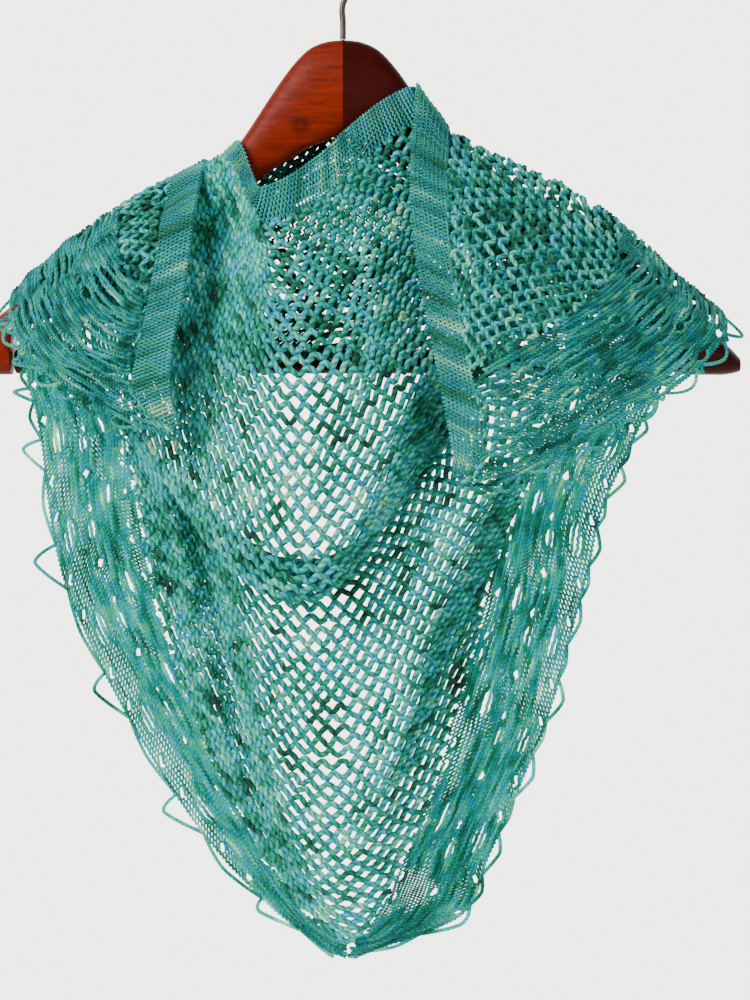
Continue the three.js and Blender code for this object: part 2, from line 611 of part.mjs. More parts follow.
const wireRadius = HOOK_INNER_RADIUS + WIRE / 2;
const hookBow = spread(HOOK_FROM_DEGREES, HOOK_TO_DEGREES, HOOK_BOW_POINTS).map((degrees) => {
  const angle = THREE.MathUtils.degToRad(degrees);
  return point(wireRadius * Math.cos(angle), 0, HOOK_CENTRE_Z + wireRadius * Math.sin(angle));
});
const hookPath = new THREE.CatmullRomCurve3([
  point(0, 0, HEAD_TOP + MITRE_GAP),
  point(0, 0, HEAD_TOP + STEM_STRAIGHT / 2),
  point(0, 0, HEAD_TOP + STEM_STRAIGHT),
  point(STEM_BEND_X, 0, HEAD_TOP + STEM_BEND_RISE),
  ...hookBow,
]);
addPiece(hanger, 'hanger_hook', rod(hookPath, WIRE, WIRE_SIDES, HOOK_STEPS),
  { color: DARK_STEEL, roughness: STEEL_ROUGHNESS, metalness: STEEL_METALNESS });

const group = new THREE.Group();
group.add(shawl, hanger);
export default group;
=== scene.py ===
"""A hand-knitted lace shawl, space-dyed in teal, hanging kerchief-wise on a wooden clothes hanger.

The yarn is modelled: every course of the net, of the leaf border and of the neckline band is
a thin tube that follows the cloth's surface. Metres, +Z up, the front faces -Y.
"""
import logging
import math
from dataclasses import dataclass, field
from enum import Enum
from typing import Callable, Sequence

import bpy
import numpy as np
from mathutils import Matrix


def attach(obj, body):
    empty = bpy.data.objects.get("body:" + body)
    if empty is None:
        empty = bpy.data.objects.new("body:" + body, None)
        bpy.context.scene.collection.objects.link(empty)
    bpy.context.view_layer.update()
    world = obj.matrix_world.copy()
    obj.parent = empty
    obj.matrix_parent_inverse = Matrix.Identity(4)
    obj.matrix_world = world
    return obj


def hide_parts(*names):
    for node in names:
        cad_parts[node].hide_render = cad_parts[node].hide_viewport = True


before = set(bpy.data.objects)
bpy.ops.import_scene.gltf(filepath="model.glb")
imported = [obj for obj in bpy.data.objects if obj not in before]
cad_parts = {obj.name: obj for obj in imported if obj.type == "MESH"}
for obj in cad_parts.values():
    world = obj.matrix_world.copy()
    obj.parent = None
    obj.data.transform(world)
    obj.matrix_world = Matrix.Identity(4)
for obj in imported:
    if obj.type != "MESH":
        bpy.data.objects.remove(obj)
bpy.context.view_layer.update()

LOG = logging.getLogger("shawl")
MM = 0.001
Array = np.ndarray

# The photograph's framing: what one pixel covers on the hanger, and where its middle lies
PHOTO_HEIGHT_PX = 1000
MM_PER_PX = 0.555
VIEW_CENTRE = (0.01776, 0.0, -0.3303)
CAMERA_DISTANCE = 1.3
SENSOR_MM = 36.0
# an edge of the wood that turns by more than this stays crisp
SHARP_ANGLE = math.radians(50)
# sides of a tube of close knitting
CLOSE_SIDES = 6
# how far a stitch may slip along its course from row to row, in rows
MOST_SLIP = 3
# the last stitch of a course is drawn in to the border's end from up to this far outside, in mm
END_ROOM = 1.2
# how many times shorter a course may run than it is in the flat cloth
MOST_SHRINKAGE = 5
# the shortest run of yarn that is drawn, in points
LEAST_POINTS = 3
# where along its edge a band's first course lies, in courses
FIRST_COURSE = 0.3
# how far a band's courses reach under the net, as a share of the stretch's width
BAND_TUCK = 0.004
# what the stretches that cross behind the neck, and the front panel, hang from
ARMS = ("hanger_arm_left", "hanger_arm_right")
# a chain loop's foot, in the rows of its stretch
LOOP_FOOT = 0.62
# keeps a division away from zero
TINY = 1e-9


class Slot(Enum):
    """The record's material slots."""

    BAND = "knit_band"
    MESH = "knit_mesh"
    LACE = "knit_lace"
    WOOD = "varnished_beech"
    STEEL = "dark_steel"


def linear(code: str) -> tuple[float, float, float, float]:
    """Turns an sRGB hex colour into linear red, green, blue and alpha.

    Args:
        code: Six hex digits.

    Returns:
        The linear colour with an alpha of 1.
    """
    values = [int(code[i:i + 2], 16) / 255 for i in (0, 2, 4)]
    red, green, blue = (c / 12.92 if c <= 0.04045 else ((c + 0.055) / 1.055) ** 2.4 for c in values)
    return red, green, blue, 1.0


def add_node(tree: bpy.types.NodeTree, kind: str, settings: dict | None = None,
             links: dict | None = None) -> bpy.types.Node:
    """Adds a node, sets its properties and inputs, and links what feeds it.

    Args:
        tree: The node tree.
        kind: The node's type name.
        settings: Property names, or input names or numbers, with their values.
        links: Input names or numbers with the output sockets that feed them.

    Returns:
        The new node.
    """
    node = tree.nodes.new(kind)
    for key, value in (settings or {}).items():
        if isinstance(key, str) and hasattr(node, key):
            setattr(node, key, value)
        else:
            node.inputs[key].default_value = value
    for key, socket in (links or {}).items():
        tree.links.new(socket, node.inputs[key])
    return node


def catmull(a: Array, b: Array, c: Array, d: Array, t: Array) -> Array:
    """Uniform Catmull-Rom blend between b and c.

    Args:
        a, b, c, d: Four neighbouring points for each place.
        t: How far each place is from b to c.

    Returns:
        The blended points.
    """
    t = t[..., None] if a.ndim > t.ndim else t
    return 0.5 * (2 * b + (c - a) * t + (2 * a - 5 * b + 4 * c - d) * t ** 2
                  + (3 * b - 3 * c + d - a) * t ** 3)


def smooth_at(values: Array, places: Array) -> Array:
    """Smooth value of a row of points, or of table rows, at places between them.

    Args:
        values: Values, one for each whole place.
        places: Places, from 0 to the last value's.

    Returns:
        The values there.
    """
    last = len(values) - 1
    i = np.minimum(np.floor(places).astype(int), last - 1)
    a, b, c, d = (values[np.clip(i + k, 0, last)] for k in (-1, 0, 1, 2))
    return catmull(a, b, c, d, places - i)


def swell(distance: Array, width: Array | float) -> Array:
    """A fold's height across it: 1 on its line and 0 from its half width on."""
    return np.where(np.abs(distance) < width, np.cos(np.pi / 2 * distance / width) ** 2, 0.0)


def lengths_along(points: Array) -> Array:
    """Length along a line of points up to each of them."""
    return np.concatenate([[0], np.cumsum(np.linalg.norm(np.diff(points, axis=0), axis=1))])


@dataclass(frozen=True)
class Layer:
    """How far a layer of cloth lies off the wood, in mm, on the ridge and on the faces."""

    ridge: float
    face: float


INNER = Layer(3.2, 5.5)
OUTER = Layer(7.6, 10.5)


@dataclass(frozen=True)
class ArmProfile:
    """The hanger's arm, in mm: reach, top, bottom, middle in Y and half thickness of each section."""

    sections: tuple = (
        (0, -75, -127, 0, 8), (10, -76, -131, 0.8, 8), (20, -80.5, -135, 1.7, 8),
        (30, -91, -141, 2.9, 8), (40, -105, -147, 4.2, 8), (60, -134, -160, 7.1, 8.5),
        (77, -148, -171, 9.9, 9), (100, -159, -183, 13.9, 9.5), (125, -172, -196, 18.5, 10.5),
        (150, -189, -211, 23.5, 11.5), (187, -219, -238, 31.3, 12.5), (188.5, -220, -259, 31.6, 12.5),
        (215, -239, -259, 37.5, 12), (226, -249, -257, 40, 7),
    )
    below_ease: float = 0.8
    # where across a stretch its puff over the ridge is fullest, as a part of half a turn
    puff_turn: float = 0.75

    def column(self, number: int, x: Array) -> Array:
        """Value of one column of the sections at places along X.

        Args:
            number: 1 top, 2 bottom, 3 middle, 4 half thickness.
            x: Places along X, in mm.

        Returns:
            The interpolated values.
        """
        table = np.array(self.sections, float)
        return np.interp(np.abs(x), table[:, 0], table[:, number])

    def ridge(self, x: Array, layer: Layer, puff: float = 0.0, share: Array | float = 0.0) -> Array:
        """Points of a cloth layer on the ridge of the arm.

        Args:
            x: Places along X, in mm.
            layer: The layer that lies there.
            puff: How far it stands up at its fullest, in mm.
            share: Shares across the stretch.

        Returns:
            Points, in mm.
        """
        stand = layer.ridge + puff * np.sin(self.puff_turn * np.pi * share)
        return np.stack([x, self.column(3, x), self.column(1, x) + stand], axis=-1)

    def keep_clear(self, p: Array, ridge: Array | float, face: Array | float, side: int) -> Array:
        """Moves points in front of the arm (side -1) or behind it (side 1).

        Args:
            p: Points, in mm.
            ridge: Clearance over the ridge, in mm.
            face: Clearance off the faces, in mm.
            side: -1 in front, 1 behind.

        Returns:
            The points, pushed clear in Y.
        """
        x, y, z = p[..., 0], p[..., 1], p[..., 2]
        half = self.column(4, x)
        lift = np.clip((z - (self.column(1, x) - half)) / (half + ridge), 0, None)
        free = (lift >= 1) | (np.abs(x) > self.sections[-1][0])
        below = np.clip(self.column(2, x) - z, 0, None) * self.below_ease
        reach = (half + face) * np.sqrt(np.clip(1 - lift ** 2, 0, None)) - below
        limit = self.column(3, x) + side * reach
        pushed = np.minimum(y, limit) if side < 0 else np.maximum(y, limit)
        return np.stack([x, np.where(free, y, pushed), z], axis=-1)


ARM = ArmProfile()


class Stretch:
    """A stretch of the shawl as a surface of a share u across it and a row number v along it."""

    rows: float = 1.0
    fine_u: int = 201
    fine_per_row: int = 24
    # soft unevenness of hand knitting: how deep it is, and its lengths along X and Z, in mm
    ripple: float = 0.8
    ripple_x: float = 37.0
    ripple_z: float = 46.0
    # how far its rows bend, in radians, and slant
    ripple_bend: float = 1.3
    ripple_slant: float = 0.4

    def surface(self, u: Array, v: Array) -> Array:
        """Points of the surface, in mm."""
        raise NotImplementedError

    def between(self, sections: Array, v: Array) -> Array:
        """Smooth points between sections that each hold a point for every place.

        Args:
            sections: The sections' points, one section for each row and one more.
            v: Row numbers of the places.

        Returns:
            The points, in mm.
        """
        i = np.minimum(np.floor(v).astype(int), self.rows - 1)
        index = np.indices(v.shape)
        a, b, c, d = (sections[(np.clip(i + k, 0, self.rows), *index)] for k in (-1, 0, 1, 2))
        return catmull(a, b, c, d, v - i)

    def prepare(self) -> None:
        """Samples the surface and its normals on a fine grid, for quick reading."""
        self.v_grid = np.linspace(0, self.rows, int(self.rows * self.fine_per_row) + 1)
        self.u_grid = np.linspace(0, 1, self.fine_u)
        u, v = np.meshgrid(self.u_grid, self.v_grid)
        self.points = self.surface(u, v)
        across = np.gradient(self.points, axis=1)
        along = np.gradient(self.points, axis=0)
        normal = np.cross(across, along)
        normal /= np.maximum(np.linalg.norm(normal, axis=-1, keepdims=True), TINY)
        self.normals = normal

    def read(self, grid: Array, u: Array, v: Array) -> Array:
        """Reads a fine grid at places between its lines.

        Args:
            grid: Values on the fine grid.
            u: Shares across.
            v: Row numbers.

        Returns:
            The values there.
        """
        i = np.clip(u, 0, 1) * (len(self.u_grid) - 1)
        j = np.clip(v / self.rows, 0, 1) * (len(self.v_grid) - 1)
        i0 = np.minimum(i.astype(int), len(self.u_grid) - 2)
        j0 = np.minimum(j.astype(int), len(self.v_grid) - 2)
        s, t = (i - i0)[:, None], (j - j0)[:, None]
        top = grid[j0, i0] * (1 - s) + grid[j0, i0 + 1] * s
        low = grid[j0 + 1, i0] * (1 - s) + grid[j0 + 1, i0 + 1] * s
        return top * (1 - t) + low * t

    def place(self, u: Array, v: Array, height: Array | float = 0.0) -> Array:
        """Points on the surface, moved out along its normal.

        Args:
            u: Shares across.
            v: Row numbers.
            height: How far out, in mm.

        Returns:
            Points, in mm.
        """
        normal = self.read(self.normals, u, v)
        points = self.read(self.points, u, v)
        x, z = points[:, 0], points[:, 2]
        bend = self.ripple_bend * np.sin(2 * np.pi * z / self.ripple_z)
        sway = np.sin(2 * np.pi * x / self.ripple_x + bend)
        slant = z + self.ripple_slant * x
        rise = height + self.ripple * sway * np.sin(2 * np.pi * slant / self.ripple_z)
        return points + normal * rise[:, None]


@dataclass
class FrontPanel(Stretch):
    """The front panel. A row runs from its left end by its low point to its right end, in mm."""

    # left end, right end, low point, spread of the swag to the left and right of it (0: to
    # the end), and where the leaf border begins at the left and at the right
    table: tuple = (
        ((-60,), (40,), (-44, -15, -159), 0, 0, -60, 40),
        ((-76,), (62,), (-37, -24, -197), 0, 0, -76, 62),
        ((-101,), (87,), (-29, -36, -236), 0, 0, -101, 87),
        ((-129,), (114,), (-25, -46, -277), 0, 0, -127, 112),
        ((-154,), (142,), (-22, -54, -314), 0, 0, -126, 124),
        ((-176,), (170,), (-21, -59, -354), 0, 150, -124, 125),
        ((-183, 11, -234), (193, 12, -228), (-21, -57, -378), 0, 128, -122, 124),
        ((-180, 8, -245), (197, 8, -240), (-21, -50, -384), 0, 120, -121, 123),
        ((-177, 5, -256), (190, 4, -251), (-20, -42, -373), 0, 125, -121, 120),
        ((-175, 3, -267), (179, -1, -264), (-19, -35, -364), 0, 135, -119, 115),
        ((-171, 1, -280), (167, -6, -284), (-18, -31, -381), 0, 0, -117, 108),
        ((-167, -1, -301), (155, -12, -308), (-15, -31, -413), 0, 0, -113, 96),
        ((-163, -3, -333), (142, -16, -337), (-12, -33, -444), 0, 0, -106, 82),
        ((-155, -5, -372), (134, -18, -371), (-9, -35, -473), 0, 0, -96, 72),
        ((-138, -6, -413), (123, -19, -410), (-6, -34, -500), 0, 0, -82, 60),
        ((-117, -6, -453), (113, -17, -448), (-4, -29, -525), 0, 0, -66, 47),
        ((-94, -5, -491), (98, -14, -485), (-2, -24, -546), 0, 0, -46, 33),
        ((-69, -5, -525), (81, -11, -525), (0, -18, -562), 0, 0, -24, 19),
        ((-39, -5, -556), (65, -9, -559), (2, -12, -574), 0, 0, 1.5, 2.5),
        ((-6, -6, -580), (12, -6, -580), (3, -6, -584), 0, 0, 2.5, 3.5),
    )
    # from row, to row, x at the top, x at the bottom, half width, how far forward
    folds: tuple = (
        (4, 17, -128, -22, 20, -13), (6, 15, -158, -84, 20, 7), (9, 16, 72, 2, 24, 11),
        (8, 17, 112, 44, 17, -10), (9, 17, 150, 84, 18, 6), (10, 16, -62, -20, 20, 8),
        (1, 8, 8, 62, 20, 9), (1, 7, -46, -84, 16, 7),
    )
    # how many rows of the table hang from the arms' ridges
    rows_on_arm: int = 6
    band_rows: float = 0.56
    border_start: float = 3.0
    border_meet: float = 17.95

    def __post_init__(self) -> None:
        """Fills the columns of the table and samples the surface."""
        self.rows = len(self.table) - 1
        on_arm, hanging = self.table[:self.rows_on_arm], self.table[self.rows_on_arm:]
        self.left, self.right = (
            np.array([*(ARM.ridge(np.array(float(row[k][0])), INNER) for row in on_arm),
                      *(row[k] for row in hanging)], float)
            for k in (0, 1)
        )
        self.low = np.array([row[2] for row in self.table], float)
        reach = np.array([row[3:5] for row in self.table], float)
        self.reach_left = np.where(reach[:, 0] > 0, reach[:, 0], self.low[:, 0] - self.left[:, 0])
        self.reach_right = np.where(reach[:, 1] > 0, reach[:, 1], self.right[:, 0] - self.low[:, 0])
        self.borders = np.array([row[5:7] for row in self.table], float)
        self.prepare()

    def straight(self, values: Array, v: Array) -> Array:
        """Straight-line value of one column of numbers at row numbers."""
        return np.interp(v, np.arange(len(values)), values)

    def surface(self, u: Array, v: Array) -> Array:
        """Points of the panel.

        Args:
            u: Shares across, from the left end.
            v: Row numbers.

        Returns:
            Points, in mm.
        """
        left, right, low = (smooth_at(part, v) for part in (self.left, self.right, self.low))
        chord = left + (right - left) * u[..., None]
        at_low = ((low - left)[..., 0] / (right - left)[..., 0])[..., None]
        chord_low = left + (right - left) * at_low
        side = chord[..., 0] < low[..., 0]
        reach = np.where(side, self.straight(self.reach_left, v), self.straight(self.reach_right, v))
        drop = swell(chord[..., 0] - low[..., 0], reach)
        y = chord[..., 1] + (low - chord_low)[..., 1] * drop + self.fold_depth(chord[..., 0], v)
        z = chord[..., 2] + (low - chord_low)[..., 2] * drop
        return ARM.keep_clear(np.stack([chord[..., 0], y, z], -1), INNER.ridge, INNER.face, -1)

    def fold_depth(self, x: Array, v: Array) -> Array:
        """How far the long folds move the panel in Y.

        Args:
            x: Places along X, in mm.
            v: Row numbers.

        Returns:
            Distances, in mm, forward below zero.
        """
        total = np.zeros_like(x)
        for first, last, top, bottom, width, forward in self.folds:
            share = np.clip((v - first) / (last - first), 0, 1)
            line = top + (bottom - top) * share
            total -= forward * np.sin(np.pi * share) * swell(x - line, width)
        return total

    def border(self, v: Array, side: int) -> Array:
        """Share across at which the mesh gives way to a border.

        Args:
            v: Row numbers.
            side: 0 for the left border, 1 for the right one.

        Returns:
            Shares across.
        """
        left, right = self.straight(self.left[:, 0], v), self.straight(self.right[:, 0], v)
        share = (self.straight(self.borders[:, side], v) - left) / (right - left)
        return np.where(v < self.border_start, float(side), share)


@dataclass
class Wing(Stretch):
    """A wing of the shawl from the ridge of the arm to its point, in mm."""

    name: str
    band_x: float
    lace_x: float
    puff: float
    table: tuple
    fold_count: float = 2.5
    fold_depth: float = 3.2
    band_width: float = 22.0
    lace_width: float = 74.0
    seam: float = 1.0
    # the band takes at most this share of the wing's width
    most_band: float = 0.5

    def __post_init__(self) -> None:
        """Counts the rows and samples the surface."""
        self.rows = len(self.table)
        self.prepare()

    def surface(self, u: Array, v: Array) -> Array:
        """Points of the wing.

        Args:
            u: Shares across, from the band's edge.
            v: Row numbers down from the ridge.

        Returns:
            Points, in mm.
        """
        ridge = ARM.ridge(self.band_x + (self.lace_x - self.band_x) * u, OUTER, self.puff, u)
        sections = [ridge]
        for band, lace, belly in self.table:
            p = np.array(band, float) + (np.array(lace, float) - np.array(band, float)) * u[..., None]
            p[..., 1] -= belly * np.sin(np.pi * u)
            sections.append(p)
        p = self.between(np.stack(sections), v)
        hang = np.sin(np.pi * v / self.rows)
        p[..., 1] += self.fold_depth * hang * np.sin(2 * np.pi * self.fold_count * u) * u
        return ARM.keep_clear(p, OUTER.ridge, OUTER.face, -1)

    def width(self, v: Array) -> Array:
        """Width of the wing at row numbers, in mm."""
        ones = np.ones_like(v)
        return np.linalg.norm(self.surface(ones, v) - self.surface(ones * 0, v), axis=-1)

    def band_share(self, v: Array) -> Array:
        """Share across at which the band ends."""
        return np.minimum(self.band_width / self.width(v), self.most_band)

    def lace_share(self, v: Array) -> Array:
        """Share across at which the border begins."""
        width = self.width(v)
        return np.maximum(self.band_share(v) + 2 * self.seam / width, 1 - self.lace_width / width)


@dataclass
class BackStretch(Stretch):
    """One of the two stretches that cross behind the neck, in mm, from arm to arm."""

    name: str
    start: tuple
    end: tuple
    table: tuple
    swap: tuple = (2.4, 3.6)
    gather_count: int = 3
    gather_depth: float = 2.2
    gather_reach: float = 70.0
    band_width: float = 22.0
    lace_start: float = 0.58
    # the band takes at most this share of the stretch's width
    most_band: float = 0.3

    def __post_init__(self) -> None:
        """Counts the rows and samples the surface."""
        self.rows = len(self.table) + 1
        self.prepare()

    def surface(self, u: Array, v: Array) -> Array:
        """Points of the stretch.

        Args:
            u: Shares across, from the band's edge.
            v: Row numbers, from the left arm.

        Returns:
            Points, in mm.
        """
        ends = [ARM.ridge(band + (lace - band) * u, layer, puff, u)
                for band, lace, layer, puff in (self.start, self.end)]
        middle = [np.array(band, float) + (np.array(lace, float) - np.array(band, float)) * u[..., None]
                  for band, lace in self.table]
        p = self.between(np.stack([ends[0], *middle, ends[1]]), v)
        gather = swell(p[..., 0], self.gather_reach) * (1 - np.cos(2 * np.pi * self.gather_count * u))
        p[..., 1] += self.gather_depth * gather
        t = np.clip((v - self.swap[0]) / (self.swap[1] - self.swap[0]), 0, 1)
        t = t * t * (3 - 2 * t)
        first, last = self.start[2], self.end[2]
        ridge = first.ridge + (last.ridge - first.ridge) * t
        face = first.face + (last.face - first.face) * t
        return ARM.keep_clear(p, ridge, face, 1)

    def band_share(self, v: Array) -> Array:
        """Share across at which the band ends.

        Args:
            v: Row numbers.

        Returns:
            Shares across.
        """
        ones = np.ones_like(v)
        width = np.linalg.norm(self.surface(ones, v) - self.surface(ones * 0, v), axis=-1)
        return np.minimum(self.band_width / width, self.most_band)


class FabricMap:
    """Turns cloth coordinates in mm (along a course, and across the courses) into a stretch's shares.

    The courses follow one of the stretch's two directions, and lengths along them are true. Where
    the cloth fans out they are spaced for its wider side, so that none stand far apart.
    """

    measured_from = 0.3
    measured_to = 0.85
    wide_share = 0.7
    # a share that no stretch reaches, for places off the cloth
    beyond = 99.0
    readings = 900
    # keeps the depths of two courses apart, in mm
    nudge = 1e-6

    def __init__(self, stretch: Stretch, courses_along_u: bool, centre: Callable[[Array], Array]) -> None:
        """Measures the stretch.

        Args:
            stretch: The surface.
            courses_along_u: Whether courses run across the stretch, rather than along it.
            centre: The share along a course that length is measured from, for each course.
        """
        self.stretch = stretch
        self.along_u = courses_along_u
        p = stretch.points if courses_along_u else stretch.points.transpose(1, 0, 2)
        self.share = stretch.u_grid if courses_along_u else stretch.v_grid
        self.course = stretch.v_grid if courses_along_u else stretch.u_grid
        steps = np.linalg.norm(np.diff(p, axis=1), axis=-1)
        arc = np.concatenate([np.zeros((len(p), 1)), np.cumsum(steps, axis=1)], axis=1)
        middle = centre(self.course)
        zero = np.array([np.interp(m, self.share, row) for m, row in zip(middle, arc)])
        self.arc = arc - zero[:, None]
        line = np.array([[np.interp(m, self.share, row[:, k]) for k in range(3)]
                         for m, row in zip(middle, p)])
        apart = np.linalg.norm(np.diff(line, axis=0), axis=-1)
        across = np.linalg.norm(np.diff(p, axis=0), axis=-1)
        inner = slice(int(across.shape[1] * self.measured_from), int(across.shape[1] * self.measured_to))
        wide = np.quantile(across[:, inner], self.wide_share, axis=1)
        self.depth = np.concatenate([[0], np.cumsum(np.maximum(apart, wide))])
        forward = np.gradient(stretch.points, axis=1 if courses_along_u else 0)
        forward /= np.maximum(np.linalg.norm(forward, axis=-1, keepdims=True), TINY)
        down = np.gradient(p, self.depth + self.nudge * np.arange(len(self.depth)), axis=0)
        down = down if courses_along_u else down.transpose(1, 0, 2)
        square = down - (down * forward).sum(axis=-1, keepdims=True) * forward
        self.spacing = np.linalg.norm(square, axis=-1)[..., None]
        reach = np.abs(self.arc).max()
        self.lengths = np.linspace(-reach, reach, self.readings)
        off = {"left": -self.beyond, "right": self.beyond}
        self.table = np.array([np.interp(self.lengths, row, self.share, **off) for row in self.arc])

    def shares(self, a: Array, b: Array) -> tuple[Array, Array, Array]:
        """Finds the shares of cloth places.

        Args:
            a: Length along the course from its centre, in mm.
            b: Depth across the courses, in mm.

        Returns:
            u, v and whether each place is on the cloth.
        """
        course = np.interp(b, self.depth, self.course)
        j = np.interp(course, self.course, np.arange(len(self.course)))
        i = np.interp(a, self.lengths, np.arange(len(self.lengths)))
        i0 = np.minimum(i.astype(int), len(self.lengths) - 2)
        j0 = np.minimum(j.astype(int), len(self.course) - 2)
        s, t = i - i0, j - j0
        corners = [self.table[j0 + down, i0 + along] for down in (0, 1) for along in (0, 1)]
        inside = np.all(np.abs(corners) < self.beyond, axis=0)
        above = corners[0] * (1 - s) + corners[1] * s
        below = corners[2] * (1 - s) + corners[3] * s
        share = above * (1 - t) + below * t
        return (share, course, inside) if self.along_u else (course, share, inside)


@dataclass
class Yarns:
    """Lengths of yarn that make one piece: points in mm, with their girth and dye place."""

    points: list = field(default_factory=list)
    girth: list = field(default_factory=list)
    dye: list = field(default_factory=list)
    flat_area: float = 0.0
    longest: float = 0.0
    spent: float = 0.0

    def add(self, points: Array, girth: Array | float, flat_width: float,
            length: float | None = None) -> None:
        """Adds one run of yarn.

        Args:
            points: Its points, in mm.
            girth: Its thickness as a share of the piece's yarn.
            flat_width: The width of cloth that the run stands for, in mm.
            length: The run's length in the flat cloth, in mm, if not the straight sum.
        """
        if len(points) < LEAST_POINTS:
            return
        along = lengths_along(points)
        self.points.append(points)
        self.girth.append(np.broadcast_to(girth, len(points)))
        self.dye.append(self.spent + along)
        self.spent += along[-1]
        flat = along[-1] if length is None else length
        self.flat_area += flat * flat_width
        self.longest = max(self.longest, flat)


def runs(mask: Array) -> list[slice]:
    """Splits a mask into its unbroken true runs that are long enough to draw."""
    edges = np.flatnonzero(np.diff(np.concatenate([[0], mask.astype(int), [0]])))
    return [slice(a, b) for a, b in zip(edges[::2], edges[1::2]) if b - a >= LEAST_POINTS]


class YarnTree:
    """The Geometry Nodes tree that turns lengths of yarn into round tubes."""

    def __init__(self) -> None:
        """Builds the tree with named inputs for the yarn's radius, sides and finish."""
        tree = bpy.data.node_groups.new("yarn_tube", "GeometryNodeTree")
        face = tree.interface
        face.new_socket("Geometry", in_out="INPUT", socket_type="NodeSocketGeometry")
        self.radius = face.new_socket("Radius", in_out="INPUT", socket_type="NodeSocketFloat").identifier
        self.sides = face.new_socket("Sides", in_out="INPUT", socket_type="NodeSocketInt").identifier
        self.finish = face.new_socket("Finish", in_out="INPUT", socket_type="NodeSocketMaterial").identifier
        face.new_socket("Geometry", in_out="OUTPUT", socket_type="NodeSocketGeometry")
        given = add_node(tree, "NodeGroupInput")
        curve = add_node(tree, "GeometryNodeMeshToCurve", links={"Mesh": given.outputs["Geometry"]})
        girth = add_node(tree, "GeometryNodeInputNamedAttribute", {"data_type": "FLOAT", "Name": "girth"})
        sized = add_node(tree, "GeometryNodeSetCurveRadius",
                         links={"Curve": curve.outputs["Curve"], "Radius": girth.outputs["Attribute"]})
        ring = add_node(tree, "GeometryNodeCurvePrimitiveCircle",
                        links={"Resolution": given.outputs["Sides"], "Radius": given.outputs["Radius"]})
        place = add_node(tree, "GeometryNodeInputPosition")
        marked = add_node(tree, "GeometryNodeStoreNamedAttribute",
                          {"data_type": "FLOAT_VECTOR", "Name": "ring"},
                          {"Geometry": ring.outputs["Curve"], "Value": place.outputs["Position"]})
        tube = add_node(tree, "GeometryNodeCurveToMesh", {"Fill Caps": True},
                        {"Curve": sized.outputs["Curve"], "Profile Curve": marked.outputs["Geometry"]})
        smooth = add_node(tree, "GeometryNodeSetShadeSmooth", links={"Geometry": tube.outputs["Mesh"]})
        real = add_node(tree, "GeometryNodeRealizeInstances", links={"Geometry": smooth.outputs[0]})
        dressed = add_node(tree, "GeometryNodeSetMaterial",
                           links={"Geometry": real.outputs[0], "Material": given.outputs["Finish"]})
        add_node(tree, "NodeGroupOutput", links={"Geometry": dressed.outputs[0]})
        self.tree = tree

    def tubes(self, name: str, yarns: Yarns, radius: float, sides: int,
              finish: bpy.types.Material) -> bpy.types.Object:
        """Makes one plain mesh of all the yarns of a piece.

        Args:
            name: The piece's name.
            yarns: The lengths of yarn.
            radius: The yarn's radius, in mm.
            sides: How many sides a tube has.
            finish: The yarn's material.

        Returns:
            The finished object, at the origin.
        """
        points = np.concatenate(yarns.points) * MM
        counts = np.array([len(p) for p in yarns.points])
        starts = np.cumsum(counts) - counts
        first = np.setdiff1d(np.arange(len(points) - 1), starts[1:] - 1)
        mesh = bpy.data.meshes.new(name + "_paths")
        mesh.vertices.add(len(points))
        mesh.vertices.foreach_set("co", points.ravel())
        mesh.edges.add(len(first))
        mesh.edges.foreach_set("vertices", np.stack([first, first + 1], 1).ravel())
        for label, values in (("girth", yarns.girth), ("dye", yarns.dye)):
            layer = mesh.attributes.new(label, "FLOAT", "POINT")
            layer.data.foreach_set("value", np.concatenate(values).astype(np.float32))
        mesh.update()
        paths = bpy.data.objects.new(name + "_paths", mesh)
        bpy.context.collection.objects.link(paths)
        modifier = paths.modifiers.new("tubes", "NODES")
        modifier.node_group = self.tree
        modifier[self.radius] = radius * MM
        modifier[self.sides] = sides
        modifier[self.finish] = finish
        graph = bpy.context.evaluated_depsgraph_get()
        result = bpy.data.meshes.new_from_object(paths.evaluated_get(graph))
        result.name = name
        piece = bpy.data.objects.new(name, result)
        bpy.context.collection.objects.link(piece)
        bpy.data.objects.remove(paths)
        bpy.data.meshes.remove(mesh)
        return piece


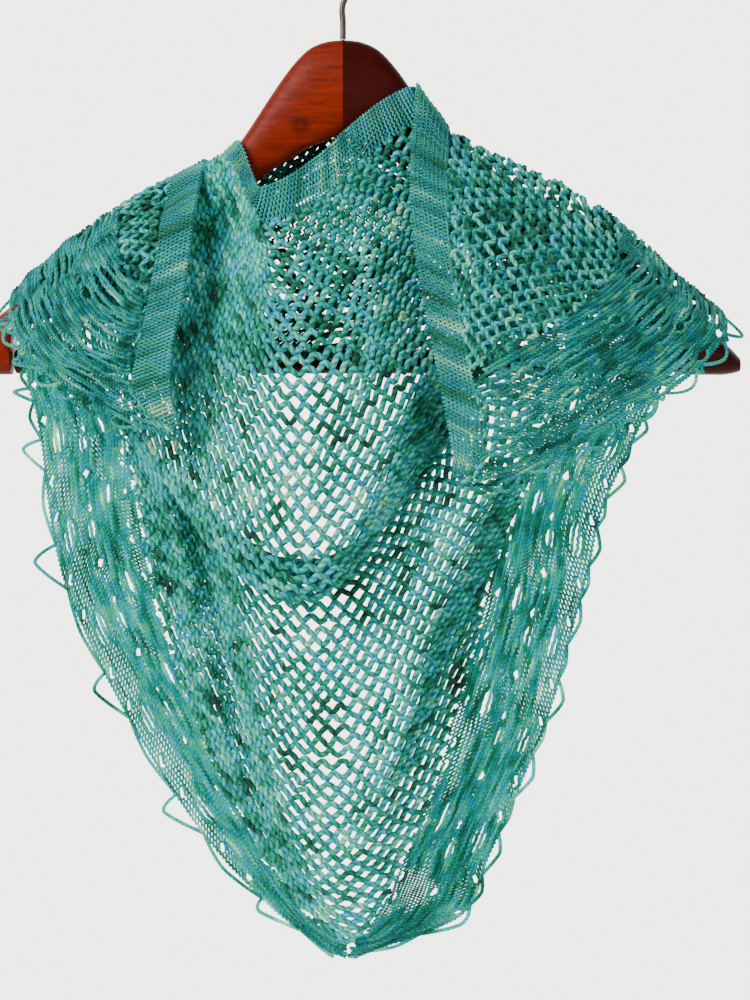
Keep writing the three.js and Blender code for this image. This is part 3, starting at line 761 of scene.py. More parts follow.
@dataclass(frozen=True)
class SpaceDyedYarn:
    """Fingering merino and silk, kettle-dyed so that its colour drifts every few centimetres."""

    name: str
    # share of the dye's run, and the colour there
    dyes: tuple = (
        (0.0, "06352a"), (0.2, "0d5c48"), (0.36, "1c8566"), (0.45, "0a7d8a"), (0.54, "379c7b"),
        (0.64, "0f93ab"), (0.76, "57b18d"), (0.88, "20a3a2"), (1.0, "86cba5"),
    )
    # the colour changes over about 30 mm of yarn
    dye_run: float = 30.0
    # a ply turns once in 6 mm of yarn, and its groove is 0.5 mm deep; the colour is darkened there as
    # painted shade
    ply_length: float = 6.0
    ply_depth: float = 0.5
    painted_ply_shading: float = 0.46
    # loose fibres show as specks of about 0.7 mm
    fibre_mm: float = 0.7
    fibre_range: tuple = (0.3, 0.75)
    fibre_tone: tuple = (0.72, 1.22)
    # neighbouring stitches share a tone over about 38 mm of cloth, for a third of the drift
    patch_scale: float = 26.0
    patch_share: float = 0.34
    # the stretch of the noise that the dyes are spread over
    dye_range: tuple = (0.33, 0.67)
    # how bright the painted highlight on a ply's crest is, and how far from the groove it begins
    crest: float = 1.15
    crest_start: float = 0.8
    bump: float = 0.8
    fibre_bump: float = 0.6
    # wool has a soft pale bloom and next to no gloss
    sheen: float = 0.12
    sheen_roughness: float = 0.5
    sheen_tint: str = "7fd6c0"
    specular: float = 0.15
    roughness: float = 0.82
    # how much of the light from behind comes through the fibres
    glow: float = 0.3

    def material(self) -> bpy.types.Material:
        """Builds the yarn's material.

        Returns:
            The material, with colour from the dye's place along the yarn.
        """
        material = bpy.data.materials.new(self.name)
        material.use_nodes = True
        tree = material.node_tree
        shader = tree.nodes["Principled BSDF"]
        dye = add_node(tree, "ShaderNodeAttribute", {"attribute_name": "dye"})
        place = add_node(tree, "ShaderNodeTexCoord")
        run = add_node(tree, "ShaderNodeMath", {"operation": "MULTIPLY", 1: 1 / self.dye_run},
                       {0: dye.outputs["Fac"]})
        drift = add_node(tree, "ShaderNodeTexNoise", {"noise_dimensions": "1D", "Scale": 1.0, "Detail": 3.0,
                                                      "Roughness": 0.6}, {"W": run.outputs[0]})
        patch = add_node(tree, "ShaderNodeTexNoise", {"Scale": self.patch_scale, "Detail": 2.0},
                         {"Vector": place.outputs["Object"]})
        both = add_node(tree, "ShaderNodeMix", {"data_type": "FLOAT", 0: self.patch_share},
                        {2: drift.outputs["Fac"], 3: patch.outputs["Fac"]})
        spread = add_node(tree, "ShaderNodeMapRange",
                          {1: self.dye_range[0], 2: self.dye_range[1], 3: 0.0, 4: 1.0},
                          {0: both.outputs[0]})
        ramp = add_node(tree, "ShaderNodeValToRGB", links={"Fac": spread.outputs[0]})
        stops = ramp.color_ramp.elements
        while len(stops) < len(self.dyes):
            stops.new(0.5)
        for stop, (share, colour) in zip(stops, self.dyes):
            stop.position = share
            stop.color = linear(colour)
        fibre = add_node(tree, "ShaderNodeTexNoise", {"Scale": 1 / (self.fibre_mm * MM), "Detail": 3.0},
                         {"Vector": place.outputs["Object"]})
        fleck = add_node(tree, "ShaderNodeMapRange",
                         dict(zip((1, 2, 3, 4), self.fibre_range + self.fibre_tone)),
                         {0: fibre.outputs["Fac"]})
        turn = add_node(tree, "ShaderNodeMath", {"operation": "MULTIPLY", 1: 2 * math.pi / self.ply_length},
                        {0: dye.outputs["Fac"]})
        cosine = add_node(tree, "ShaderNodeMath", {"operation": "COSINE"}, {0: turn.outputs[0]})
        sine = add_node(tree, "ShaderNodeMath", {"operation": "SINE"}, {0: turn.outputs[0]})
        twist = add_node(tree, "ShaderNodeCombineXYZ", links={"X": cosine.outputs[0], "Y": sine.outputs[0]})
        ring = add_node(tree, "ShaderNodeAttribute", {"attribute_name": "ring"})
        way = add_node(tree, "ShaderNodeVectorMath", {"operation": "NORMALIZE"},
                       {0: ring.outputs["Vector"]})
        lobe = add_node(tree, "ShaderNodeVectorMath", {"operation": "DOT_PRODUCT"},
                        {0: way.outputs[0], 1: twist.outputs[0]})
        ply = add_node(tree, "ShaderNodeMath", {"operation": "POWER", 1: 2.0}, {0: lobe.outputs["Value"]})
        # painted shade in a ply's groove and painted highlight on its crest, multiplied into the yarn's
        # colour
        painted_ply_shading = add_node(tree, "ShaderNodeMapRange",
                          {1: 0.0, 2: self.crest_start, 3: self.painted_ply_shading, 4: self.crest}, {0: ply.outputs[0]})
        fibrous = add_node(tree, "ShaderNodeVectorMath", {"operation": "SCALE"},
                           {0: ramp.outputs["Color"], 3: fleck.outputs[0]})
        shade = add_node(tree, "ShaderNodeVectorMath", {"operation": "SCALE"},
                         {0: fibrous.outputs[0], 3: painted_ply_shading.outputs[0]})
        height = add_node(tree, "ShaderNodeMath", {"operation": "MULTIPLY_ADD", 1: self.fibre_bump},
                          {0: fibre.outputs["Fac"], 2: ply.outputs[0]})
        bump = add_node(tree, "ShaderNodeBump", {"Strength": self.bump, "Distance": self.ply_depth * MM},
                        {"Height": height.outputs[0]})
        tree.links.new(shade.outputs[0], shader.inputs["Base Color"])
        tree.links.new(bump.outputs[0], shader.inputs["Normal"])
        glow = add_node(tree, "ShaderNodeBsdfTranslucent", links={"Color": fibrous.outputs[0]})
        blend = add_node(tree, "ShaderNodeMixShader", {0: self.glow},
                         {1: shader.outputs[0], 2: glow.outputs[0]})
        tree.links.new(blend.outputs[0], tree.nodes["Material Output"].inputs["Surface"])
        shader.inputs["Roughness"].default_value = self.roughness
        shader.inputs["Sheen Weight"].default_value = self.sheen
        shader.inputs["Sheen Roughness"].default_value = self.sheen_roughness
        shader.inputs["Sheen Tint"].default_value = linear(self.sheen_tint)
        shader.inputs["Specular IOR Level"].default_value = self.specular
        return material


@dataclass(frozen=True)
class VarnishedBeech:
    """Steamed beech under a red-brown satin varnish: close grain with short dark flecks."""

    name: str
    light: str
    dark: str
    # the grain runs along the arm in bands of about 3 mm, its flecks are about 0.5 mm wide
    grain_mm: float = 3.0
    fleck_mm: float = 0.5
    # the grain is drawn out along the piece by this, and its flecks count for a third of it
    drawn_out: float = 0.07
    waviness: float = 0.6
    fleck_share: float = 0.35
    ramp: tuple = (0.2, 0.8)
    # the varnish fills the pores and leaves them hardly felt
    bump: float = 0.08
    pore_mm: float = 0.3
    roughness: float = 0.46
    specular: float = 0.05
    tilt: float = 0.0
    # a knot on the left arm, in metres: a dark ring of 2.6 mm round a light eye
    knot: tuple = (-0.0235, 0.0, -0.123)
    knot_ring: float = 2.6
    knot_fade: float = 4.0
    knot_tone: float = 0.5

    def material(self) -> bpy.types.Material:
        """Builds the wood's material.

        Returns:
            The material, with grain along the piece.
        """
        material = bpy.data.materials.new(self.name)
        material.use_nodes = True
        tree = material.node_tree
        shader = tree.nodes["Principled BSDF"]
        place = add_node(tree, "ShaderNodeTexCoord")
        turned = add_node(tree, "ShaderNodeMapping",
                          {"Rotation": (0.0, self.tilt, 0.0), "Scale": (self.drawn_out, 1.0, 1.0)},
                          {"Vector": place.outputs["Object"]})
        grain = add_node(tree, "ShaderNodeTexNoise",
                         {"Scale": 1 / (self.grain_mm * MM), "Detail": 5.0, "Distortion": self.waviness},
                         {"Vector": turned.outputs[0]})
        fleck = add_node(tree, "ShaderNodeTexNoise", {"Scale": 1 / (self.fleck_mm * MM), "Detail": 2.0},
                         {"Vector": turned.outputs[0]})
        both = add_node(tree, "ShaderNodeMix", {"data_type": "FLOAT", 0: self.fleck_share},
                        {2: grain.outputs["Fac"], 3: fleck.outputs["Fac"]})
        ramp = add_node(tree, "ShaderNodeValToRGB", links={"Fac": both.outputs[0]})
        for stop, share, colour in zip(ramp.color_ramp.elements, self.ramp, (self.dark, self.light)):
            stop.position = share
            stop.color = linear(colour)
        bump = add_node(tree, "ShaderNodeBump", {"Strength": self.bump, "Distance": self.pore_mm * MM},
                        {"Height": both.outputs[0]})
        face = add_node(tree, "ShaderNodeVectorMath", {"operation": "MULTIPLY", 1: (1.0, 0.0, 1.0)},
                        {0: place.outputs["Object"]})
        away = add_node(tree, "ShaderNodeVectorMath", {"operation": "DISTANCE", 1: self.knot},
                        {0: face.outputs[0]})
        inner = add_node(tree, "ShaderNodeMath", {"operation": "SUBTRACT", 1: self.knot_ring * MM},
                         {0: away.outputs["Value"]})
        ringed = add_node(tree, "ShaderNodeMath", {"operation": "ABSOLUTE"}, {0: inner.outputs[0]})
        knotted = add_node(tree, "ShaderNodeMapRange",
                           {1: 0.0, 2: self.knot_fade * MM, 3: self.knot_tone, 4: 1.0},
                           {0: ringed.outputs[0]})
        colour = add_node(tree, "ShaderNodeVectorMath", {"operation": "SCALE"},
                          {0: ramp.outputs["Color"], 3: knotted.outputs[0]})
        tree.links.new(colour.outputs[0], shader.inputs["Base Color"])
        tree.links.new(bump.outputs[0], shader.inputs["Normal"])
        shader.inputs["Roughness"].default_value = self.roughness
        shader.inputs["Specular IOR Level"].default_value = self.specular
        return material


@dataclass(frozen=True)
class BlackenedWire:
    """Drawn steel wire with a dark bronzed finish, rubbed a little brighter in places."""

    name: str = "blackened_steel_wire"
    dark: str = "1a1715"
    rubbed: str = "4a433d"
    # rubbed patches of about 5 mm
    wear_scale: float = 180.0
    metallic: float = 0.9
    roughness: float = 0.38

    def material(self) -> bpy.types.Material:
        """Builds the wire's material.

        Returns:
            The material, dark with rubbed patches.
        """
        material = bpy.data.materials.new(self.name)
        material.use_nodes = True
        tree = material.node_tree
        shader = tree.nodes["Principled BSDF"]
        place = add_node(tree, "ShaderNodeTexCoord")
        wear = add_node(tree, "ShaderNodeTexNoise", {"Scale": self.wear_scale, "Detail": 4.0},
                        {"Vector": place.outputs["Object"]})
        ramp = add_node(tree, "ShaderNodeValToRGB", links={"Fac": wear.outputs["Fac"]})
        for stop, colour in zip(ramp.color_ramp.elements, (self.dark, self.rubbed)):
            stop.color = linear(colour)
        tree.links.new(ramp.outputs["Color"], shader.inputs["Base Color"])
        shader.inputs["Metallic"].default_value = self.metallic
        shader.inputs["Roughness"].default_value = self.roughness
        return material


@dataclass
class Knitter:
    tree: YarnTree
    finishes: dict
    triangles: int = 0

    def finish_piece(self, name: str, yarns: Yarns, radius: float, sides: int, slot: Slot,
                     nodes: Sequence[str], course_height: float, rests_on: Sequence[str],
                     held: str = "draped") -> bpy.types.Object:
        """Args:
            name: The piece's name.
            yarns: Its lengths of yarn.
            radius: The yarn's radius, in mm.
            sides: Sides of a tube.
            slot: The record's slot.
            nodes: The CAD nodes that it stands for.
            course_height: Height of one course in the flat cloth, in mm; not used.
            rests_on: What carries the piece; not used.
            held: How the cloth is held; not used.

        Returns:
            The piece.
        """
        piece = self.tree.tubes(name, yarns, radius, sides, self.finishes[slot])
        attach(piece, "root")
        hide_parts(*nodes)
        count = len(piece.data.loops) - 2 * len(piece.data.polygons)
        self.triangles += count
        return piece


@dataclass
class NetMesh:
    """The open net of the shawl: wavy courses whose crests are joined to their neighbours' troughs."""

    pitch: float = 8.8
    height: float = 6.3
    yarn: float = 3.6
    samples: int = 6
    sides: int = 5
    # below 1 the waves are squarer, which makes the holes oval
    roundness: float = 0.62
    join: float = 0.72
    unevenness: float = 0.3
    # how far crests stand out from the cloth, in mm
    relief: float = 0.5
    # the strands are knitted, so they swell at each stitch and a little more at each crest
    girth: float = 0.94
    lumps: float = 0.1
    crest_swell: float = 0.1
    roughness: float = 0.05
    # where courses run close together their strands are drawn thinner, down to this share
    thinnest: float = 0.44
    thickest: float = 1.3
    thinning: float = 0.75
    # courses wander up and down by this much, in mm, slowly along and from course to course
    wander: float = 1.5
    wander_length: float = 19.0
    wander_courses: float = 2.6
    seed: int = 7

    def knit(self, cloth: FabricMap, keep: Callable[[Array, Array], Array], first: float,
             last: float) -> Yarns:
        """Lays the net's courses over a stretch.

        Args:
            cloth: The stretch's cloth coordinates.
            keep: Tells which shares are part of the net.
            first: Depth of the first course, in mm.
            last: Depth of the last course, in mm.

        Returns:
            The courses.
        """
        yarns = Yarns()
        wave = (self.height - self.yarn * self.join) / 2
        waves = int(cloth.lengths[-1] / self.pitch) + 1
        step = self.pitch / self.samples
        a = np.arange(-waves * self.samples, waves * self.samples + 1) * step
        rng = np.random.default_rng(self.seed)
        for n in range(int((last - first) / self.height) + 1):
            turn = np.cos(2 * np.pi * a / self.pitch + np.pi * (n + 1 / self.samples))
            crest = np.sign(turn) * np.abs(turn) ** self.roundness
            wobble = rng.normal(0, self.unevenness, (2, len(a)))
            wander = self.wander * np.sin(a / self.wander_length + n / self.wander_courses)
            u, v, inside = cloth.shares(a + wobble[1] + wander,
                                        first + n * self.height + wave * crest + wobble[0] + wander)
            inside &= keep(u, v)
            for run in runs(inside):
                points = cloth.stretch.place(u[run], v[run], self.relief * crest[run])
                spacing = cloth.stretch.read(cloth.spacing, u[run], v[run])[:, 0]
                lump = self.lumps * np.where(np.arange(run.start, run.stop) % 2 == 0, 1.0, -1.0)
                girth = self.girth + lump + self.crest_swell * np.abs(crest[run])
                girth += rng.normal(0, self.roughness, run.stop - run.start)
                girth *= np.clip(spacing ** self.thinning, self.thinnest, self.thickest)
                yarns.add(points, girth, self.height, (run.stop - run.start) * step)
        return yarns


@dataclass
class Stockinette:
    """Close knitting: zigzag courses nested in one another, as columns of small V stitches."""

    stitch: float = 2.7
    row: float = 2.15
    yarn: float = 1.75
    zigzag: float = 0.52
    # how far a stitch stands out from the cloth, in mm
    relief: float = 0.28
    samples: int = 2

    def knit(self, stretch: Stretch, line: Callable[[float, Array], tuple[Array, Array]],
             places: Array, width: float) -> Yarns:
        """Knits courses across a band.

        Args:
            stretch: The surface.
            line: Gives u and v of a course at a place, for shares along the course.
            places: Places of the courses, as the line takes them.
            width: Length of a course, in mm.

        Returns:
            The courses.
        """
        yarns = Yarns()
        count = max(2, round(width / self.stitch)) * self.samples
        share = np.linspace(0, 1, count + 1)
        step = float(np.mean(np.diff(places)))
        phase = 2 * np.pi * np.arange(count + 1) / self.samples
        for place in places:
            shift = self.zigzag / self.row * step * np.cos(phase)
            u, v = line(place + shift, share)
            yarns.add(stretch.place(u, v, self.relief * np.cos(phase)), 1.0, self.row, width)
        return yarns


class BorderMap:
    """A leaf border's own coordinates: mm from its outer edge, and mm along that edge."""

    width_samples = 13

    def __init__(self, stretch: Stretch, line: Callable[[Array, Array], tuple[Array, Array]],
                 first: float, last: float) -> None:
        """Measures the border.

        Args:
            stretch: The surface.
            line: Gives u and v for a place along the border and a share from the net to the edge.
            first: The place where the border starts.
            last: The place where it ends.
        """
        self.stretch, self.line = stretch, line
        self.places = np.linspace(first, last, int((last - first) * stretch.fine_per_row) + 1)
        share = np.linspace(0, 1, self.width_samples)
        u, v = line(self.places[:, None], share[None, :])
        points = stretch.surface(u, v)
        self.widths = np.linalg.norm(np.diff(points, axis=1), axis=-1).sum(axis=1)
        self.arc = lengths_along(points[:, -1])

    def shares(self, inward: Array, along: Array) -> tuple[Array, Array, Array]:
        """Finds the shares of places on the border.

        Args:
            inward: Distance from the outer edge, in mm.
            along: Distance along the edge, in mm.

        Returns:
            u, v and whether each place is on the border.
        """
        place = np.interp(along, self.arc, self.places)
        share = 1 - inward / np.maximum(np.interp(along, self.arc, self.widths), TINY)
        u, v = self.line(place, np.clip(share, 0, 1))
        return u, v, (share >= 0) & (np.abs(2 * along - self.arc[-1]) <= self.arc[-1] + 2 * END_ROOM)

    def drift(self, inward: float, along: Array, row: float) -> Array:
        """Finds how far places slip along a course from one course to the next one inwards.

        Args:
            inward: The course's distance from the outer edge, in mm.
            along: Distances along the edge, in mm.
            row: The courses' distance, in mm.

        Returns:
            The slips, in mm along the edge, that the next course takes back.
        """
        along = np.clip(along, 0, self.arc[-1] - row)
        here, ahead, above = (
            self.stretch.surface(*self.shares(np.full_like(along, inward + up), along + on)[:2])
            for on, up in ((0.0, 0.0), (row, 0.0), (0.0, row))
        )
        step = ahead - here
        length = np.maximum(np.linalg.norm(step, axis=1), row / MOST_SHRINKAGE)
        slip = ((above - here) * step).sum(axis=1) / length ** 2
        return row * np.clip(slip, -MOST_SLIP, MOST_SLIP)


@dataclass(frozen=True)
class Motif:
    """A leaf or an opening of the chart: its middle and its half sizes, in mm."""

    inward: float
    along: float
    half_inward: float
    half_along: float

    def nearness(self, inward: Array, along: Array, repeat: float,
                 size: float = 1.0) -> tuple[Array, Array]:
        """Measures places against the motif, which comes again along the border.

        Args:
            inward: Distances from the outer edge, in mm.
            along: Distances along the edge, in mm.
            repeat: How far apart the motifs are, in mm.
            size: How large the motif is drawn.

        Returns:
            1 in the middle falling to 0 at the motif's outline and below it outside, and the
            distance from the middle line, in half sizes.
        """
        e = (inward - self.inward) / (self.half_inward * size)
        f = ((along - self.along + repeat / 2) % repeat - repeat / 2) / (self.half_along * size)
        return 1 - np.sqrt(e ** 2 + f ** 2), e


@dataclass
class LeafBorder:
    """The leaf border: courses along its edge, close in the leaves, loose in the ladders.

    It is charted with a leaf and a ladder in turn in each of three tiers.
    """

    row: float = 2.3
    stitch: float = 2.7
    yarn: float = 1.5
    zigzag: float = 0.7
    repeat: float = 57.0
    first_row: float = 0.8
    # stitches start this far outside the border's ends, in mm, and slip into it
    spare: float = 60.0
    leaves: tuple = (Motif(66, 0, 13, 22), Motif(40, 19, 13, 20), Motif(14, 31, 9, 18))
    ladders: tuple = (Motif(62, 29, 8, 10), Motif(40, 48, 9, 10.5), Motif(11, 1, 8, 12), Motif(26, 9, 6, 8))
    eyelets: tuple = (
        Motif(52, 12, 3.2, 3.4), Motif(52, 22, 3.2, 3.4), Motif(53, 45, 3.4, 3.6), Motif(27, 30, 3.4, 3.6),
        Motif(26, 39, 3.2, 3.4), Motif(28, 54, 3.2, 3.4), Motif(72, 29, 3.4, 3.6), Motif(4, 20, 3.0, 3.4),
        Motif(4, 41, 3.0, 3.4),
    )
    ground: float = 0.8
    # how far a leaf stands out along its middle, in mm
    relief: float = 1.5
    # a single strand in an opening, as a share of the yarn in a leaf
    thinnest: float = 0.46
    # how far two courses close up to each other in an opening, in mm
    pairing: float = 0.75
    # how large the openings are drawn
    opening: float = 1.0
    ladder_spread: float = 1.5
    eyelet_spread: float = 2.4
    # how sharply a leaf's stitches close up, an opening's strands thin and its courses part
    leaf_edge: float = 6.0
    opening_edge: float = 2.5
    parting: float = 3.0
    # how far an opening's strands lie back, and a close stitch stands out, in mm
    sink: float = 0.6
    stitch_relief: float = 0.35
    # how unevenly stitches lie, in mm, and how close they are where that would end
    unevenness: float = 0.16
    steady: float = 1.3
    seed: int = 11

    def chart(self, inward: Array, along: Array) -> tuple[Array, Array, Array]:
        """Reads the chart.

        Args:
            inward: Distances from the outer edge, in mm.
            along: Distances along the edge, in mm.

        Returns:
            How close the stitches are (0 to 1), how far a course is pushed aside, in mm, and how
            far the fabric stands out, in mm.
        """
        close = np.full_like(along, self.ground)
        raised = np.zeros_like(along)
        push = np.zeros_like(along)
        for leaf in self.leaves:
            near, across = leaf.nearness(inward, along, self.repeat)
            inside = np.clip(near * self.leaf_edge, 0, 1)
            close = np.maximum(close, inside)
            raised += inside * self.relief * (1 - np.abs(across))
        for openings, reach in ((self.ladders, self.ladder_spread), (self.eyelets, self.eyelet_spread)):
            for opening in openings:
                near, across = opening.nearness(inward, along, self.repeat, self.opening)
                inside = np.clip(near * self.opening_edge + 0.5, 0, 1)
                close *= 1 - inside
                raised -= self.sink * inside
                push += reach * inside * np.tanh(across * self.parting) * np.exp(-across ** 2)
        return close, push, raised

    def knit(self, border: BorderMap, offset: float) -> Yarns:
        """Lays the courses over a border, from its edge inwards.

        Args:
            border: The border's coordinates.
            offset: Where in the repeat the border starts, in mm.

        Returns:
            The courses.
        """
        yarns = Yarns()
        rng = np.random.default_rng(self.seed)
        step = self.stitch / 2
        along = np.arange(-self.spare, border.arc[-1] + self.spare, step)
        side = np.where(np.arange(len(along)) % 2 == 0, 1.0, -1.0)
        for n in range(int(border.widths.max() / self.row) + 1):
            inward = self.first_row + n * self.row
            close, push, raised = self.chart(np.full_like(along, inward), along + offset)
            loose = rng.normal(0, self.unevenness, len(along)) * (self.steady - close)
            opened = 1 - np.clip(close / self.ground, 0, 1)
            paired = (self.pairing if n % 2 == 0 else -self.pairing) * opened
            place = inward + self.zigzag * close * side + push + loose + paired
            u, v, inside = border.shares(place, along)
            height = raised + self.stitch_relief * close * side
            for run in runs(inside):
                girth = self.thinnest + (1 - self.thinnest) * close[run]
                points = border.stretch.place(u[run], v[run], height[run])
                yarns.add(points, girth, self.row, (run.stop - run.start) * step)
            along = along - border.drift(inward, along, self.row)
        return yarns


@dataclass
class ChainLoops:
    """The crocheted chain loops of the edge."""

    yarn: float = 2.6
    link: float = 3.2
    samples: int = 20
    # 1 makes a loop a triangle, 2 an arch
    point: float = 1.4
    droop: float = 2.0
    root: float = 0.6
    # sizes of the large and the small loops as shares of the depth, and how far a loop leans
    large: tuple = (0.4, 0.95)
    small: tuple = (0.12, 0.35)
    lean: float = 0.3
    # how much of the droop a loop takes, and how far a link swells
    hang: tuple = (0.2, 1.0)
    link_swell: float = 0.2
    # the cloth's direction at the edge is read over this share of its width
    beside: float = 0.04
    least_foot: float = 0.1

    def crochet(self, edge: Callable[[Array, float], Array], starts: Array, step: float, depth: float,
                border_yarn: float, yarns: Yarns, seed: int) -> None:
        """Adds a row of loops along an edge, every other one large.

        Args:
            edge: Gives points at places along the edge, and at a share across the stretch from it.
            starts: Where the large loops start.
            step: How long a loop's foot is, as the places count.
            depth: How far a large loop stands out, in mm.
            border_yarn: The thickness of the yarn of the piece that the loops belong to, in mm.
            yarns: The yarns to add to.
            seed: For how the loops vary.
        """
        rng = np.random.default_rng(seed)
        t = np.linspace(0, 1, self.samples + 1)
        pitch = float(np.mean(np.diff(starts)))
        for k, start in enumerate(np.concatenate([starts, starts + step])):
            is_large = k < len(starts)
            foot = step if is_large else max(pitch - step, self.least_foot)
            size = depth * rng.uniform(*(self.large if is_large else self.small))
            base = edge(start + foot * t, 0.0)
            out = base[self.samples // 2] - edge(np.array([start + foot / 2]), self.beside)[0]
            out /= max(np.linalg.norm(out), TINY)
            along = base[-1] - base[0]
            along /= max(np.linalg.norm(along), TINY)
            bow = 1 - np.abs(2 * t - 1) ** self.point
            lean = rng.uniform(-self.lean, self.lean) * size
            points = base + out * (size * bow - self.root)[:, None] + along * (lean * bow)[:, None]
            points[:, 2] -= self.droop * bow * rng.uniform(*self.hang)
            links = np.cos(2 * np.pi * lengths_along(points) / self.link)
            yarns.add(points, self.yarn / border_yarn * (1 + self.link_swell * links), self.yarn)


def edge_band(stretch: Wing | BackStretch, knit: Stockinette) -> Yarns:
    """Knits the band along a stretch's long edge.

    Args:
        stretch: The stretch.
        knit: The knitting of the band.

    Returns:
        The courses, each from the long edge inwards.
    """
    edge = stretch.surface(np.zeros_like(stretch.v_grid), stretch.v_grid)
    arc = lengths_along(edge)
    places = np.interp(np.arange(FIRST_COURSE, arc[-1] / knit.row) * knit.row, arc, stretch.v_grid)

    def line(place: Array, share: Array) -> tuple[Array, Array]:
        """Courses run from the long edge to just under the net."""
        v = np.broadcast_to(place, share.shape)
        return share * (stretch.band_share(v) + BAND_TUCK), v

    return knit.knit(stretch, line, places, stretch.band_width)


@dataclass
class FrontKnitting:
    """The front panel: band, net mesh and two leaf borders."""

    knitter: Knitter
    panel: FrontPanel
    lean: float = 1.6
    lean_ramp: float = 3.0
    # the left edge has fewer and larger loops than the right one
    large_loops: tuple = (8, 12)
    loop_depth: tuple = (15.0, 8.0)
    # the rows between which the large loops start
    loop_rows: tuple = (5.6, 17.8)
    loop_seed: int = 21
    band_width: float = 22.0
    # the band is measured along this line of the fine grid, its first course lies half a course in,
    # and its courses reach this far under the net, in rows
    measured_line: int = 6
    first_course: float = 0.5
    band_tuck: float = 0.02
    # depth of the net's first course below the band, in mm
    net_start: float = 2.5
    # how much further along the chart the right border starts, in mm
    chart_shift: float = 20.0

    def build(self) -> None:
        """Knits the panel's pieces."""
        self.band()
        self.mesh()
        for side, label in ((0, "left"), (1, "right")):
            self.border(side, label)

    def band(self) -> None:
        """Knits the neckline band, its courses across it."""
        knit, panel = Stockinette(), self.panel
        rows = panel.band_rows + self.band_tuck

        def line(place: Array, share: Array) -> tuple[Array, Array]:
            """Courses run from the neckline's edge to the mesh."""
            return np.broadcast_to(place, share.shape), share * rows

        arc = lengths_along(panel.points[self.measured_line])
        places = np.interp(np.arange(self.first_course, arc[-1] / knit.row) * knit.row, arc, panel.u_grid)
        yarns = knit.knit(panel, line, places, self.band_width)
        self.knitter.finish_piece("front_neckline_band", yarns, knit.yarn / 2, CLOSE_SIDES, Slot.BAND,
                                  ["front_band"], knit.row, ARMS, "draped")

    def mesh(self) -> None:
        """Knits the net between the band and the borders."""
        panel, net = self.panel, NetMesh()

        def centre(v: Array) -> Array:
            """Lengths are measured from the hanging line of the swag, which moves from row to row."""
            left, right, low = (smooth_at(part, v)[:, 0] for part in (panel.left, panel.right, panel.low))
            return (low - left) / (right - left)

        def keep(u: Array, v: Array) -> Array:
            """The net lies between the band and the borders."""
            between = (u > panel.border(v, 0)) & (u < panel.border(v, 1))
            return between & (v > panel.band_rows) & (v < panel.border_meet)

        cloth = FabricMap(panel, True, centre)
        first = float(np.interp(panel.band_rows, panel.v_grid, cloth.depth)) + self.net_start
        last = float(np.interp(panel.border_meet, panel.v_grid, cloth.depth))
        yarns = net.knit(cloth, keep, first, last)
        self.knitter.finish_piece("front_net", yarns, net.yarn / 2, net.sides, Slot.MESH, ["front_mesh"],
                                  net.height, ["front_neckline_band"], "hung")

    def border(self, side: int, label: str) -> None:
        """Knits one leaf border with the chain loops of its edge.

        Args:
            side: 0 at the left, 1 at the right.
            label: The side's name.
        """
        panel = self.panel
        knit = LeafBorder(yarn=2.15, zigzag=0.52, thinnest=0.66, pairing=0.35, ground=0.92, opening=0.62)
        outer = float(side)
        start = panel.border_start

        def line(place: Array, share: Array) -> tuple[Array, Array]:
            """Lines from the net to the edge, about square to the edge.

            Args:
                place: Where each line meets the edge, in rows.
                share: How far along it to go, from the net.

            Returns:
                u and v.
            """
            ease = np.clip((place - start) / self.lean_ramp, 0, 1)
            ease = ease * np.clip((panel.rows - place) / self.lean_ramp, 0, 1)
            inner = np.clip(place - self.lean * ease, start, panel.rows)
            u = panel.border(inner, side)
            return u + (outer - u) * share, inner + (place - inner) * share

        border = BorderMap(panel, line, start, float(panel.rows))
        yarns = knit.knit(border, self.chart_shift * side)
        ChainLoops().crochet(
            lambda v, inside: panel.surface(np.full_like(v, abs(outer - inside)), v),
            np.linspace(*self.loop_rows, self.large_loops[side]), LOOP_FOOT, self.loop_depth[side],
            knit.yarn, yarns, self.loop_seed + side)
        self.knitter.finish_piece(f"front_leaf_border_{label}", yarns, knit.yarn / 2, CLOSE_SIDES,
                                  Slot.LACE, [f"front_lace_{label}"], knit.row, ["front_net"], "hung")


